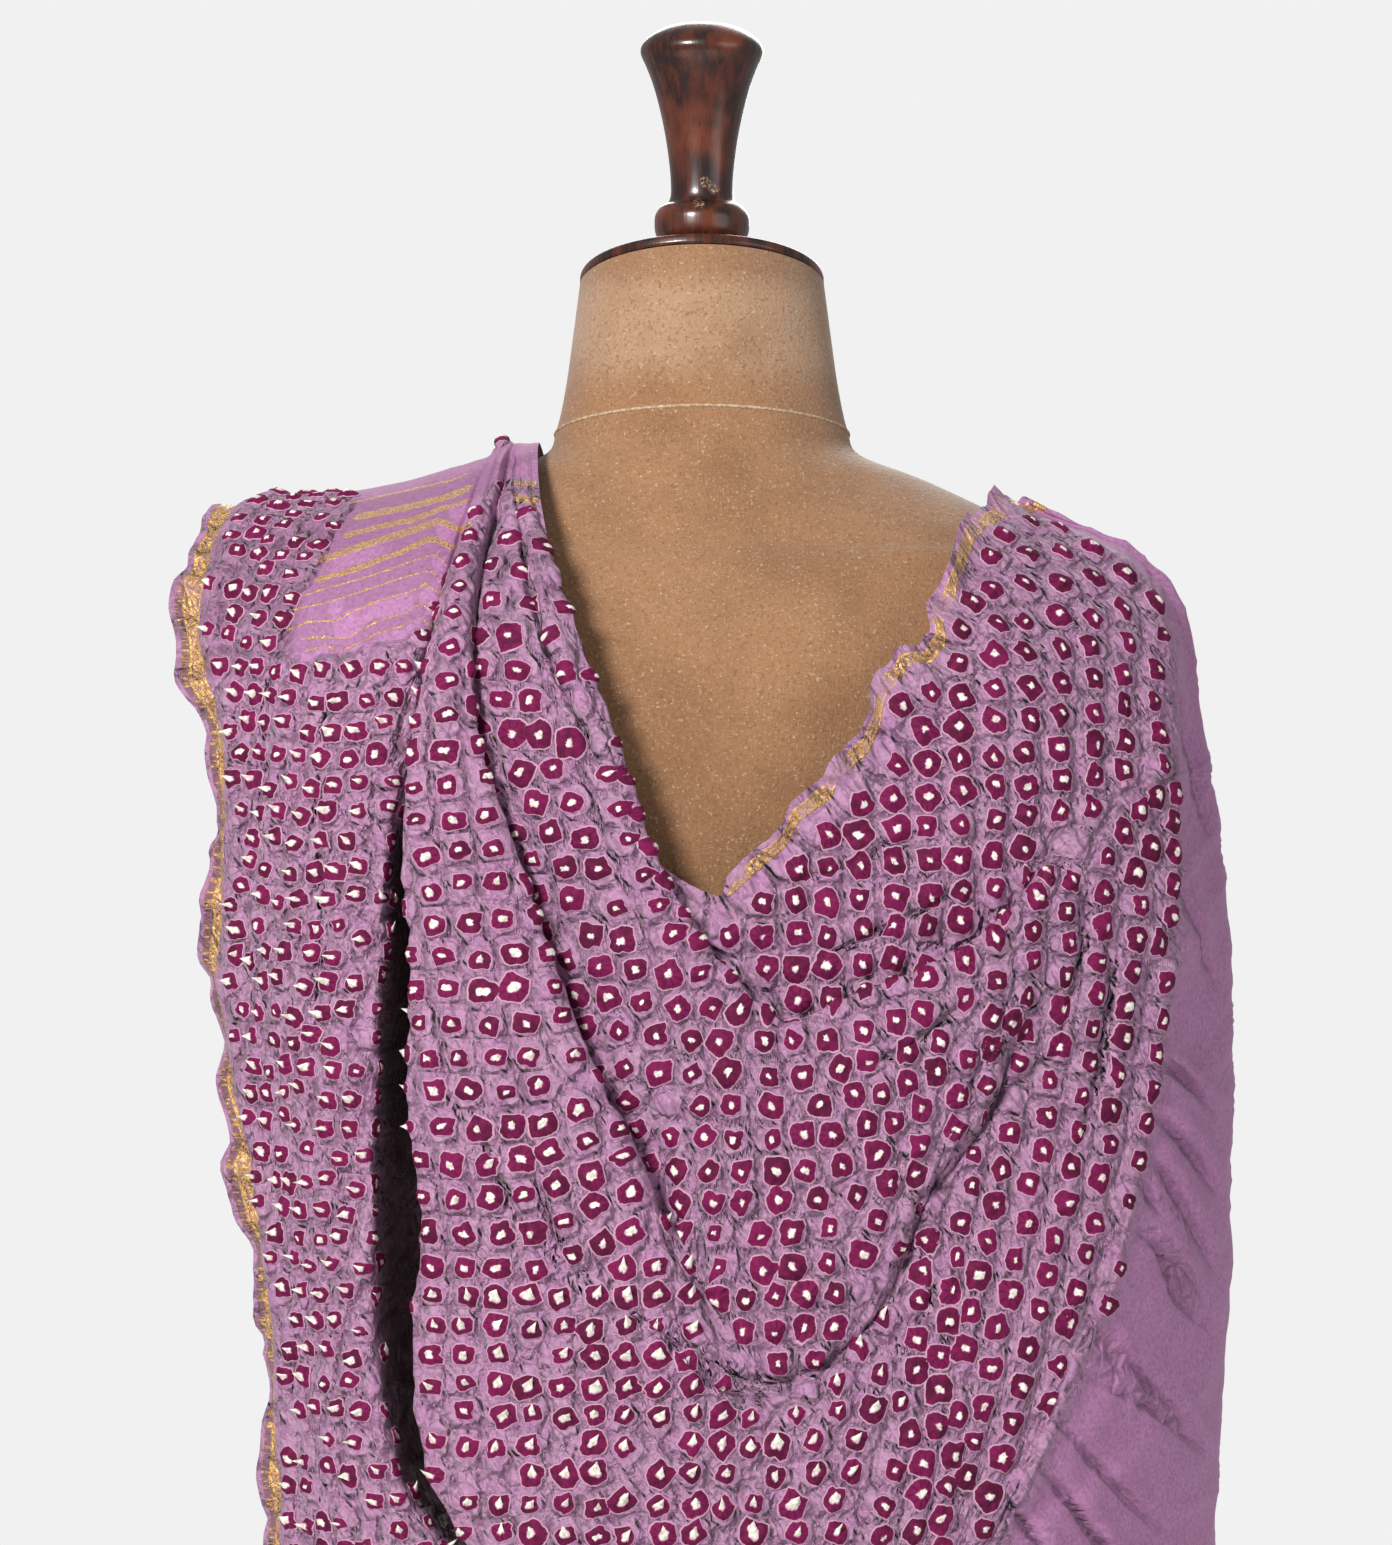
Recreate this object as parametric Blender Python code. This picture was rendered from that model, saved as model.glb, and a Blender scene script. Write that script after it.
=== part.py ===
"""A crinkled bandhani shawl draped over a turned-wood-topped dress form.

Metres, +Z up. The origin is the middle of the form's flat foot, and the side with the
neckline, where the shawl's folds show, faces -Y. The shawl is one sheet. It starts in an end
that hangs behind the left shoulder, crosses that shoulder in pleats, hangs over the chest in
a cowl, crosses the right shoulder and goes round the back.
"""

import math
from collections import namedtuple

import bmesh
import bpy
import numpy as np

# Places on the front are read in a picture plane of 1392 x 1545 units through the form's middle.
UNIT = 0.434e-3
PLANE_MIDDLE = 702.0
PLANE_TOP = 16.0
TOTAL_HEIGHT = 0.830
SIGHT_DISTANCE = 2.25
SIGHT_HEIGHT = 0.5017

SHEET_THICKNESS = 0.002
FORM_CLEARANCE = 0.0035
JOINT_GAP = 0.0003
SHOULDER_ROUND = 0.090
SIDE_POWER = 3.0
ROWS_PER_SPAN = 2

NECK_TILT = math.radians(15.0)
NECK_TOP = (0.020, 0.7140)
FORM_SIDES = 40

CAP_RADIUS = 0.0534
CAP_THICKNESS = 0.0050
CAP_ROUND = 0.0018
WOOD_SIDES = 36

# The form's level sections, foot to neck: height, half width, half depth, middle in y, tilt
# in degrees, and the power of its rounded outline (2 is an ellipse, more is squarer).
FormSection = namedtuple("FormSection", "height half_width half_depth middle tilt power")
FORM = (
    FormSection(0.000, 0.150, 0.092, 0.000, 0.0, 2.2),
    FormSection(0.012, 0.156, 0.097, 0.000, 0.0, 2.2),
    FormSection(0.120, 0.172, 0.106, 0.000, 0.0, 2.2),
    FormSection(0.220, 0.165, 0.102, 0.000, 0.0, 2.2),
    FormSection(0.330, 0.150, 0.093, 0.000, 0.0, 2.2),
    FormSection(0.430, 0.162, 0.096, 0.000, 0.0, 2.2),
    FormSection(0.510, 0.178, 0.096, 0.000, 0.0, 2.2),
    FormSection(0.555, 0.184, 0.088, 0.000, 0.0, 2.2),
    FormSection(0.582, 0.176, 0.074, 0.000, 0.0, 2.2),
    FormSection(0.600, 0.158, 0.062, 0.000, 0.0, 2.0),
    FormSection(0.613, 0.130, 0.057, 0.001, 0.0, 1.8),
    FormSection(0.622, 0.111, 0.054, 0.002, 0.0, 1.7),
    FormSection(0.630, 0.093, 0.052, 0.003, 1.0, 1.65),
    FormSection(0.639, 0.0695, 0.050, 0.005, 3.0, 1.75),
    FormSection(0.650, 0.0635, 0.049, 0.007, 6.0, 1.9),
    FormSection(0.668, 0.0595, 0.050, 0.010, 9.0, 2.0),
    FormSection(0.690, 0.0565, 0.051, 0.015, 12.0, 2.0),
    FormSection(0.7140, 0.0535, 0.0515, 0.020, 15.0, 2.0),
)

# The turned finial, foot to crown: radius and height above the foot.
FINIAL = (
    (0.0165, 0.0000),
    (0.0185, 0.0140),
    (0.0204, 0.0185),
    (0.0208, 0.0225),
    (0.0204, 0.0265),
    (0.0180, 0.0300),
    (0.0150, 0.0318),
    (0.0138, 0.0345),
    (0.0137, 0.0420),
    (0.0152, 0.0560),
    (0.0178, 0.0700),
    (0.0212, 0.0830),
    (0.0246, 0.0920),
    (0.0266, 0.0965),
    (0.0269, 0.0985),
    (0.0262, 0.1010),
    (0.0230, 0.1045),
    (0.0160, 0.1085),
    (0.0080, 0.1103),
)

# Silhouette and depth of the draped cloth: height, left and right half widths, half depth.
ClothSection = namedtuple("ClothSection", "height left right half_depth")
SILHOUETTE = (
    ClothSection(0.060, 0.196, 0.214, 0.124),
    ClothSection(0.166, 0.197, 0.215, 0.126),
    ClothSection(0.240, 0.199, 0.219, 0.122),
    ClothSection(0.330, 0.205, 0.226, 0.116),
    ClothSection(0.400, 0.217, 0.227, 0.114),
    ClothSection(0.450, 0.221, 0.224, 0.114),
    ClothSection(0.510, 0.219, 0.214, 0.112),
    ClothSection(0.560, 0.232, 0.207, 0.104),
    ClothSection(0.600, 0.232, 0.208, 0.092),
    ClothSection(0.650, 0.228, 0.208, 0.084),
)
# The line where the cloth passes over the shoulders: place in x and height.
SHOULDER_LINE = (
    (-0.232, 0.610),
    (-0.211, 0.616),
    (-0.088, 0.638),
    (-0.060, 0.650),
    (0.060, 0.650),
    (0.111, 0.625),
    (0.133, 0.6170),
    (0.173, 0.5985),
    (0.203, 0.582),
    (0.212, 0.560),
)

# One row for each weft line, from the hanging end round to the end behind. "side" is -1 on the
# front and 1 on the back. The nine places run from the bordered neck edge to the outer edge.
Places = namedtuple("Places", "side border inner neck roll crease ridge gap panel edge")
WEFT_LINES = (
    Places(1, (600, 1310), (588, 1310), (574, 1310), (540, 1310), (505, 1310), (470, 1310),
           (432, 1310), (340, 1310), (244, 1306)),
    Places(1, (596, 1110), (582, 1110), (568, 1110), (540, 1110), (506, 1110), (474, 1110),
           (440, 1110), (345, 1108), (240, 1104)),
    Places(1, (586, 900), (574, 900), (562, 900), (538, 900), (508, 900), (480, 900),
           (450, 898), (348, 893), (236, 886)),
    Places(1, (566, 700), (558, 700), (550, 700), (534, 700), (514, 700), (495, 698),
           (474, 696), (352, 690), (228, 682)),
    Places(1, (560, 560), (555, 560), (545, 560), (531, 560), (517, 562), (504, 564),
           (490, 566), (360, 578), (222, 590)),
    Places(0, (543, 452), (539, 452), (532, 453), (523, 454), (515, 456), (507, 458),
           (499, 462), (368, 496), (216, 507)),
    Places(-1, (542, 514), (537, 515), (527, 515), (511, 517), (494, 514), (484, 518),
           (472, 522), (340, 560), (190, 548)),
    Places(-1, (569, 623), (561, 624), (573, 622), (524, 626), (472, 625), (455, 632),
           (436, 641), (303, 652), (177, 634)),
    Places(-1, (610, 742), (597, 743), (616, 742), (553, 745), (481, 742), (448, 746),
           (413, 751), (303, 756), (205, 742)),
    Places(-1, (645, 848), (630, 850), (652, 848), (590, 851), (518, 850), (462, 857),
           (408, 862), (302, 865), (206, 852)),
    Places(-1, (714, 895), (688, 921), (696, 930), (626, 955), (556, 965), (482, 968),
           (413, 968), (305, 968), (204, 962)),
    Places(-1, (727, 876), (724, 940), (733, 977), (668, 1035), (598, 1075), (506, 1088),
           (412, 1085), (314, 1082), (220, 1074)),
    Places(-1, (748, 853), (758, 940), (760, 1005), (714, 1105), (645, 1165), (530, 1208),
           (424, 1210), (325, 1204), (240, 1192)),
    Places(-1, (775, 838), (788, 930), (783, 1021), (747, 1170), (694, 1288), (552, 1332),
           (416, 1340), (326, 1338), (256, 1322)),
    Places(-1, (800, 806), (834, 912), (808, 1015), (786, 1190), (742, 1382), (605, 1462),
           (440, 1490), (335, 1482), (260, 1462)),
    Places(-1, (838, 770), (878, 882), (846, 997), (832, 1190), (794, 1392), (695, 1540),
           (545, 1615), (395, 1630), (282, 1650)),
    Places(-1, (864, 722), (926, 845), (896, 977), (886, 1150), (846, 1348), (780, 1540),
           (680, 1655), (560, 1700), (425, 1738)),
    Places(-1, (880, 670), (974, 800), (950, 951), (936, 1090), (890, 1275), (858, 1500),
           (778, 1660), (705, 1712), (620, 1748)),
    Places(-1, (916, 633), (1018, 750), (1000, 917), (986, 1030), (938, 1182), (925, 1440),
           (838, 1645), (782, 1706), (722, 1750)),
    Places(-1, (938, 590), (1056, 700), (1045, 874), (1038, 965), (1000, 1110), (985, 1390),
           (888, 1625), (838, 1695), (790, 1750)),
    Places(-1, (953, 540), (1094, 652), (1096, 832), (1096, 935), (1076, 1085), (1037, 1345),
           (932, 1604), (882, 1685), (838, 1750)),
    Places(-1, (975, 514), (1128, 616), (1150, 790), (1150, 905), (1133, 1080), (1087, 1300),
           (975, 1568), (918, 1674), (872, 1750)),
    Places(-1, (998, 505), (1148, 600), (1176, 780), (1178, 905), (1158, 1085), (1108, 1290),
           (1004, 1535), (945, 1662), (903, 1750)),
    Places(-0.8, (1012, 508), (1158, 592), (1194, 780), (1202, 905), (1197, 1085), (1178, 1290),
           (1120, 1520), (1075, 1655), (1040, 1746)),
    Places(0, (1030, 515), (1160, 588), (1198, 780), (1214, 905), (1220, 1060), (1216, 1250),
           (1207, 1480), (1201, 1640), (1196, 1742)),
    Places(0.9, (1010, 535), (1110, 620), (1146, 780), (1160, 905), (1170, 1060), (1172, 1250),
           (1168, 1480), (1164, 1640), (1160, 1745)),
    Places(1, (905, 600), (965, 680), (1000, 800), (1015, 905), (1020, 1060), (1020, 1250),
           (1018, 1480), (1015, 1640), (1012, 1748)),
    Places(1, (770, 660), (800, 730), (820, 820), (828, 910), (832, 1060), (832, 1250),
           (830, 1480), (828, 1640), (826, 1750)),
    Places(1, (630, 705), (640, 770), (646, 845), (650, 920), (652, 1060), (652, 1250),
           (650, 1480), (648, 1640), (646, 1750)),
    Places(1, (508, 745), (512, 800), (514, 865), (516, 935), (517, 1060), (517, 1250),
           (516, 1480), (514, 1640), (512, 1750)),
)

# The folds at each weft line, in millimetres above the cloth's own rounded shape. A lap is how
# far the lower layer runs on beneath a fold's edge, and "open" is the width of a hollow beside it.
Folds = namedtuple(
    "Folds",
    "floor neck_lap neck_top roll_top pool_open pool_floor ridge_lap ridge_top gap_lap "
    "gap_floor gap_open panel_top",
)
FOLDS = (
    Folds(15, 0, 16, 17, 8, 14, 0, 19, 0, 14, 8, 17),
    Folds(15, 0, 16, 18, 8, 14, 0, 21, 0, 14, 8, 18),
    Folds(15, 0, 16, 18, 8, 13, 0, 21, 0, 13, 8, 18),
    Folds(12, 0, 13, 15, 6, 11, 0, 18, 0, 11, 6, 14),
    Folds(8, 0, 9, 10, 4, 7, 0, 12, 0, 7, 5, 10),
    Folds(4, 0, 4, 4, 3, 4, 0, 4.5, 0, 4, 4, 4),
    Folds(4, 0, 9, 10, 4, 4, 0, 13, 0, 4, 4, 7),
    Folds(4, 13, 14, 13, 5, 5, 0, 17, 0, 5, 4, 9),
    Folds(4, 18, 16, 14, 6, 5, 6, 20, 6, 5, 5, 12),
    Folds(4, 20, 17, 15, 7, 5, 8, 22, 8, 4, 7, 15),
    Folds(4, 20, 17, 16, 8, 5, 8, 24, 8, 4, 12, 17),
    Folds(4, 20, 18, 18, 14, 5, 8, 25, 8, 4, 15, 18),
    Folds(4, 20, 18, 20, 22, 5, 6, 25, 8, 4, 20, 18),
    Folds(4, 20, 18, 22, 16, 6, 0, 22, 8, 4, 17, 17),
    Folds(4, 20, 18, 24, 14, 7, 0, 17, 6, 5, 14, 15),
    Folds(4, 20, 18, 24, 14, 8, 0, 13, 0, 6, 12, 12),
    Folds(4, 20, 18, 23, 14, 8, 0, 12, 0, 7, 12, 11),
    Folds(4, 19, 18, 21, 14, 8, 0, 11, 0, 8, 12, 10),
    Folds(4, 15, 17, 18, 14, 7, 0, 10, 0, 8, 12, 9),
    Folds(4, 0, 12, 13, 14, 6, 0, 9, 0, 7, 12, 8),
    Folds(4, 0, 6, 8, 12, 6, 0, 8, 0, 6, 12, 7),
    Folds(5, 0, 5, 6, 12, 5, 0, 6, 0, 5, 12, 6),
    Folds(5, 0, 5, 5, 12, 5, 0, 5, 0, 5, 12, 5),
    Folds(5, 0, 5, 5, 12, 5, 0, 5, 0, 5, 12, 5),
    Folds(5, 0, 5, 5, 12, 5, 0, 5, 0, 5, 12, 5),
    Folds(5, 0, 5, 5, 12, 5, 0, 5, 0, 5, 12, 5),
    Folds(5, 0, 5, 5, 12, 5, 0, 5, 0, 5, 12, 5),
    Folds(5, 0, 5, 5, 12, 5, 0, 5, 0, 5, 12, 5),
    Folds(4, 0, 4, 4, 12, 4, 0, 4, 0, 4, 12, 4),
    Folds(4, 0, 4, 4, 12, 4, 0, 4, 0, 4, 12, 4),
)
LIP_DROP = 4.0
EDGE_RUFFLE = 0.0035
EDGE_RUFFLE_TURNS = 0.75

# How many faces each stretch between two places of a weft line gets.
COLUMNS_PER_SPAN = (3, 3, 1, 1, 1, 1, 1, 3, 3, 1, 1, 1, 1, 1, 1, 2, 2, 1, 1, 1, 1, 1, 1, 3, 3)

CLOTH_COLOUR = (0.42, 0.20, 0.42, 1.0)
COVER_COLOUR = (0.40, 0.24, 0.13, 1.0)
WOOD_COLOUR = (0.065, 0.014, 0.008, 1.0)


def clear_scene():
    for old in list(bpy.data.objects):
        bpy.data.objects.remove(old)


def material(name, colour, roughness):
    made = bpy.data.materials.new(name)
    made.use_nodes = True
    shader = made.node_tree.nodes["Principled BSDF"]
    shader.inputs["Base Color"].default_value = colour
    shader.inputs["Roughness"].default_value = roughness
    return made


def add_object(name, mesh, finish):
    made = bpy.data.objects.new(name, mesh)
    mesh.materials.append(finish)
    bpy.context.scene.collection.objects.link(made)
    return made


def column_of(table, name):
    return [getattr(row, name) for row in table]


def smooth_line(points, counts):
    """A curve through the points, with counts[i] steps between points i and i + 1.

    The knots are spaced by the root of each chord, so that uneven points bring no loops.
    """
    points = np.asarray(points, float)
    line = np.concatenate([[2 * points[0] - points[1]], points, [2 * points[-1] - points[-2]]])
    chord = np.linalg.norm(np.diff(line, axis=0), axis=-1)
    while chord.ndim > 1:
        chord = chord.mean(axis=-1)
    knot = np.concatenate([[0.0], np.cumsum(np.sqrt(np.maximum(chord, 1e-6)))])
    made = []
    for i, count in enumerate(counts):
        a, b, c, d = line[i : i + 4]
        ka, kb, kc, kd = knot[i : i + 4]
        for step in range(count):
            t = kb + (kc - kb) * step / count
            ab = a + (b - a) * (t - ka) / (kb - ka)
            bc = b + (c - b) * (t - kb) / (kc - kb)
            cd = c + (d - c) * (t - kc) / (kd - kc)
            abc = ab + (bc - ab) * (t - ka) / (kc - ka)
            bcd = bc + (cd - bc) * (t - kb) / (kd - kb)
            made.append(abc + (bcd - abc) * (t - kb) / (kc - kb))
    made.append(points[-1])
    return np.array(made)


def seen(place):
    """A place in the picture plane as x and height in metres."""
    x = (place[0] - PLANE_MIDDLE) * UNIT
    return np.array([x, TOTAL_HEIGHT - (place[1] - PLANE_TOP) * UNIT])


def form_depth(x, height):
    """How far the form's surface lies from its middle plane at this x and height."""
    heights = column_of(FORM, "height")
    half_width = np.interp(height, heights, column_of(FORM, "half_width"))
    half_depth = np.interp(height, heights, column_of(FORM, "half_depth"))
    power = np.interp(height, heights, column_of(FORM, "power"))
    share = max(0.0, 1.0 - abs(x / half_width) ** power)
    return half_depth * share ** (1 / power)


def cloth_base(x, height, side):
    """The rounded shape under the folds, and the way up out of it."""
    heights = column_of(SILHOUETTE, "height")
    half_width = np.interp(height, heights, column_of(SILHOUETTE, "right" if x > 0 else "left"))
    half_depth = np.interp(height, heights, column_of(SILHOUETTE, "half_depth"))
    line = np.array(SHOULDER_LINE)
    drop = (np.interp(x, line[:, 0], line[:, 1]) - height) / SHOULDER_ROUND
    up = 1.0 - min(1.0, max(0.0, drop))
    out = math.sqrt(max(0.0, 1.0 - up * up))
    across = max(0.0, 1.0 - min(1.0, abs(x / half_width)) ** SIDE_POWER) ** (1 / SIDE_POWER)
    depth = half_depth * across * out
    if abs(side) == 1:
        depth = max(depth, form_depth(x, height) + FORM_CLEARANCE)
    y = side * depth
    nearer = 1.0 + min(0.0, y) / SIGHT_DISTANCE
    place = np.array([x * nearer, y, SIGHT_HEIGHT + (height - SIGHT_HEIGHT) * nearer])
    way = np.array([0.0, float(np.sign(side)) * max(out, 1e-3), up])
    if side == 0:
        way = np.array([float(np.sign(x)) * out, 0.0, up])
    return place, way / max(np.linalg.norm(way), 1e-9)


def lap(width, floor, top, reach):
    """A fold whose upper layer starts at 0 and covers the lower layer out to the width.

    Each pair is the distance past the fold's edge and the height, in millimetres.
    """
    share = min(1.0, width / 12.0)
    under = (width - 2.0, width + 2.0, width - 2.0, 3.0, 0.0, reach)
    wall = (-0.9 * reach, -0.6 * reach, -0.35 * reach, -0.15 * reach, 0.1 * reach, reach)
    rise_under = (0.0, 0.22, 0.46, 0.52, 0.76, 1.0)
    rise_wall = (0.0, 0.15, 0.42, 0.62, 0.84, 1.0)
    pairs = []
    for a, b, c, d in zip(wall, under, rise_wall, rise_under):
        rise = c + (d - c) * share
        pairs.append((a + (b - a) * share, floor + (top - floor) * rise))
    return pairs


def weft_line(row, folds):
    """The places of one weft line: each is x, height and rise over the base, in metres."""
    at = {name: seen(getattr(row, name)) for name in Places._fields[1:]}

    def shifted(name, towards, distance):
        way = at[towards] - at[name]
        return at[name] + way / np.linalg.norm(way) * distance * 1e-3

    def room(name, towards, share):
        return min(6.0, share * 1e3 * np.linalg.norm(at[towards] - at[name]))

    line = [(at["border"], folds.floor), (at["inner"], folds.floor)]
    reach = room("neck", "roll", 0.35)
    for distance, height in lap(folds.neck_lap, folds.floor, folds.neck_top, reach):
        line.append((shifted("neck", "roll", distance), height))
    line.append((at["roll"], folds.roll_top))
    pool = min(folds.pool_open, 0.7e3 * np.linalg.norm(at["roll"] - at["crease"]))
    lip = max(folds.pool_floor, folds.roll_top - LIP_DROP)
    line.append((shifted("crease", "roll", pool), lip))
    reach = min(room("crease", "ridge", 0.5), 0.6 * pool)
    for distance, height in lap(folds.ridge_lap, folds.pool_floor, folds.ridge_top, reach):
        line.append((shifted("crease", "ridge", distance), height))
    line.append((at["ridge"], folds.ridge_top + 1.5))
    reach = min(room("gap", "ridge", 0.5), 0.6 * folds.gap_open)
    for distance, height in reversed(lap(folds.gap_lap, folds.gap_floor, folds.ridge_top, reach)):
        line.append((shifted("gap", "ridge", distance), height))
    line.append((shifted("gap", "panel", folds.gap_open), folds.panel_top - 1.0))
    line.append((at["panel"], folds.panel_top))
    line.append((at["edge"], folds.panel_top - 2.0))
    return line


def sheet_grid(rows_per_span, columns_per_span):
    """The cloth's middle surface as a grid of points, warp by weft."""
    frame = []
    for row, folds in zip(WEFT_LINES, FOLDS):
        points = []
        for (x, height), rise in weft_line(row, folds):
            place, way = cloth_base(x, height, row.side)
            points.append(place + way * rise * 1e-3)
        frame.append(points)
    frame = np.array(frame)
    along = smooth_line(frame, [rows_per_span] * (len(frame) - 1))
    grid = np.array([smooth_line(row, columns_per_span) for row in along])
    turn = np.arange(len(grid)) / rows_per_span * EDGE_RUFFLE_TURNS * 2 * math.pi
    grid[:, -1, 1] += EDGE_RUFFLE * np.sin(turn * 1.9)
    grid[:, -1, 0] += 0.4 * EDGE_RUFFLE * np.cos(turn * 1.3)
    return grid


def make_shawl(finish):
    grid = sheet_grid(ROWS_PER_SPAN, COLUMNS_PER_SPAN)
    rows, columns = grid.shape[:2]
    mesh = bpy.data.meshes.new("bandhani_shawl")
    faces = []
    for i in range(rows - 1):
        for j in range(columns - 1):
            a = i * columns + j
            faces.append((a, a + 1, a + columns + 1, a + columns))
    mesh.from_pydata(grid.reshape(-1, 3).tolist(), [], faces)
    mesh.shade_smooth()
    shawl = add_object("bandhani_shawl", mesh, finish)
    solidify = shawl.modifiers.new("thickness", "SOLIDIFY")
    solidify.thickness = SHEET_THICKNESS
    solidify.offset = 0.0
    return shawl


def ring_solid(name, rings, finish):
    """A closed solid through rings of equal point counts, with flat ends."""
    shape = bmesh.new()
    loops = [[shape.verts.new(point) for point in ring] for ring in rings]
    for low, high in zip(loops, loops[1:]):
        for i in range(len(low)):
            j = (i + 1) % len(low)
            shape.faces.new((low[i], low[j], high[j], high[i]))
    shape.faces.new(list(reversed(loops[0])))
    shape.faces.new(loops[-1])
    mesh = bpy.data.meshes.new(name)
    shape.to_mesh(mesh)
    shape.free()
    mesh.shade_smooth()
    return add_object(name, mesh, finish)


def form_ring(section):
    ring = []
    for i in range(FORM_SIDES):
        turn = 2 * math.pi * i / FORM_SIDES
        cosine, sine = math.cos(turn), math.sin(turn)
        x = section.half_width * math.copysign(abs(cosine) ** (2 / section.power), cosine)
        y = section.half_depth * math.copysign(abs(sine) ** (2 / section.power), sine)
        drop = y * math.tan(math.radians(section.tilt))
        ring.append((x, section.middle + y, section.height - drop))
    return ring


def make_form(finish):
    return ring_solid("form_body", [form_ring(section) for section in FORM], finish)


def make_cap(finish):
    """A flat disc with a rounded edge, tilted to sit on the neck."""
    radii = []
    steps = 4
    for i in range(steps + 1):
        angle = -math.pi / 2 + math.pi / 2 * i / steps
        inset = CAP_ROUND * (1 - math.cos(angle))
        radii.append((CAP_RADIUS - inset, CAP_ROUND * (1 + math.sin(angle))))
    for radius, height in reversed(radii[:]):
        radii.append((radius, CAP_THICKNESS - height))
    rings = []
    for radius, height in radii:
        ring = []
        for i in range(WOOD_SIDES):
            turn = 2 * math.pi * i / WOOD_SIDES
            ring.append((radius * math.cos(turn), radius * math.sin(turn), height))
        rings.append(ring)
    cap = ring_solid("neck_cap", rings, finish)
    cap.rotation_euler.x = -NECK_TILT
    gap_y = math.sin(NECK_TILT) * JOINT_GAP
    gap_z = math.cos(NECK_TILT) * JOINT_GAP
    cap.location = (0.0, NECK_TOP[0] + gap_y, NECK_TOP[1] + gap_z)
    return cap


def make_finial(finish):
    """Turned upright, with its foot cut to the cap's tilt."""
    lift = CAP_THICKNESS + 2 * JOINT_GAP
    foot_y = NECK_TOP[0] + math.sin(NECK_TILT) * lift
    foot_z = NECK_TOP[1] + math.cos(NECK_TILT) * lift
    scale = (TOTAL_HEIGHT - foot_z) / (FINIAL[-1][1] + 0.0004)
    rings = []
    for number, (radius, height) in enumerate(FINIAL):
        tilt = math.tan(NECK_TILT) if number == 0 else 0.0
        ring = []
        for i in range(WOOD_SIDES):
            turn = 2 * math.pi * i / WOOD_SIDES
            y = radius * math.sin(turn)
            ring.append((radius * math.cos(turn), foot_y + y, foot_z + height * scale - y * tilt))
        rings.append(ring)
    return ring_solid("finial", rings, finish)


def main():
    clear_scene()
    cover = material("cover", COVER_COLOUR, 0.9)
    wood = material("wood", WOOD_COLOUR, 0.3)
    make_form(cover)
    make_cap(wood)
    make_finial(wood)
    make_shawl(material("shawl", CLOTH_COLOUR, 0.85))


main()
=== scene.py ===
"""The looks of the crinkled bandhani shawl and its dress form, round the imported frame.

Metres, +Z up, in the frame's own place. The shawl is one thin sheet on the solid's folds. The
tied rings of its pattern are small pleated pieces that lie on it, each with a white middle.
"""

import math
from collections import namedtuple

import bpy
import numpy as np
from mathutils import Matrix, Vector
from mathutils.kdtree import KDTree


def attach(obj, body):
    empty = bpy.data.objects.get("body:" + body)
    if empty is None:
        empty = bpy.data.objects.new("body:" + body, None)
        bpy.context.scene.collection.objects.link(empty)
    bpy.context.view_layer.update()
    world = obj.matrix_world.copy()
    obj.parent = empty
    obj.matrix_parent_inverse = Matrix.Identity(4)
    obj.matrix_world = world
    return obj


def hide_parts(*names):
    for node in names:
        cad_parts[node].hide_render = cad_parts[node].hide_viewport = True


# Places on the front are read in a picture plane of 1392 x 1545 units through the form's middle.
UNIT = 0.434e-3
PLANE_MIDDLE = 702.0
PLANE_TOP = 16.0
TOTAL_HEIGHT = 0.830
SIGHT_DISTANCE = 2.25
SIGHT_HEIGHT = 0.5017
SIGHT_X = -0.0026
LENS = 120.8

FORM_CLEARANCE = 0.0035
JOINT_GAP = 0.0003
SHOULDER_ROUND = 0.090
SIDE_POWER = 3.0

NECK_TILT = math.radians(15.0)
NECK_TOP = (0.020, 0.7140)
FORM_SIDES = 120
STEPS_PER_SECTION = 6

CAP_RADIUS = 0.0534
CAP_THICKNESS = 0.0050
CAP_ROUND = 0.0018
WOOD_SIDES = 96

# The form's level sections, foot to neck: height, half width, half depth, middle in y, tilt
# in degrees, and the power of its rounded outline (2 is an ellipse, more is squarer).
FormSection = namedtuple("FormSection", "height half_width half_depth middle tilt power")
FORM = (
    FormSection(0.000, 0.150, 0.092, 0.000, 0.0, 2.2),
    FormSection(0.012, 0.156, 0.097, 0.000, 0.0, 2.2),
    FormSection(0.120, 0.172, 0.106, 0.000, 0.0, 2.2),
    FormSection(0.220, 0.165, 0.102, 0.000, 0.0, 2.2),
    FormSection(0.330, 0.150, 0.093, 0.000, 0.0, 2.2),
    FormSection(0.430, 0.162, 0.096, 0.000, 0.0, 2.2),
    FormSection(0.510, 0.178, 0.096, 0.000, 0.0, 2.2),
    FormSection(0.555, 0.184, 0.088, 0.000, 0.0, 2.2),
    FormSection(0.582, 0.176, 0.074, 0.000, 0.0, 2.2),
    FormSection(0.600, 0.158, 0.062, 0.000, 0.0, 2.0),
    FormSection(0.613, 0.130, 0.057, 0.001, 0.0, 1.8),
    FormSection(0.622, 0.111, 0.054, 0.002, 0.0, 1.7),
    FormSection(0.630, 0.093, 0.052, 0.003, 1.0, 1.65),
    FormSection(0.639, 0.0695, 0.050, 0.005, 3.0, 1.75),
    FormSection(0.650, 0.0635, 0.049, 0.007, 6.0, 1.9),
    FormSection(0.668, 0.0595, 0.050, 0.010, 9.0, 2.0),
    FormSection(0.690, 0.0565, 0.051, 0.015, 12.0, 2.0),
    FormSection(0.7140, 0.0535, 0.0515, 0.020, 15.0, 2.0),
)

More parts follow.
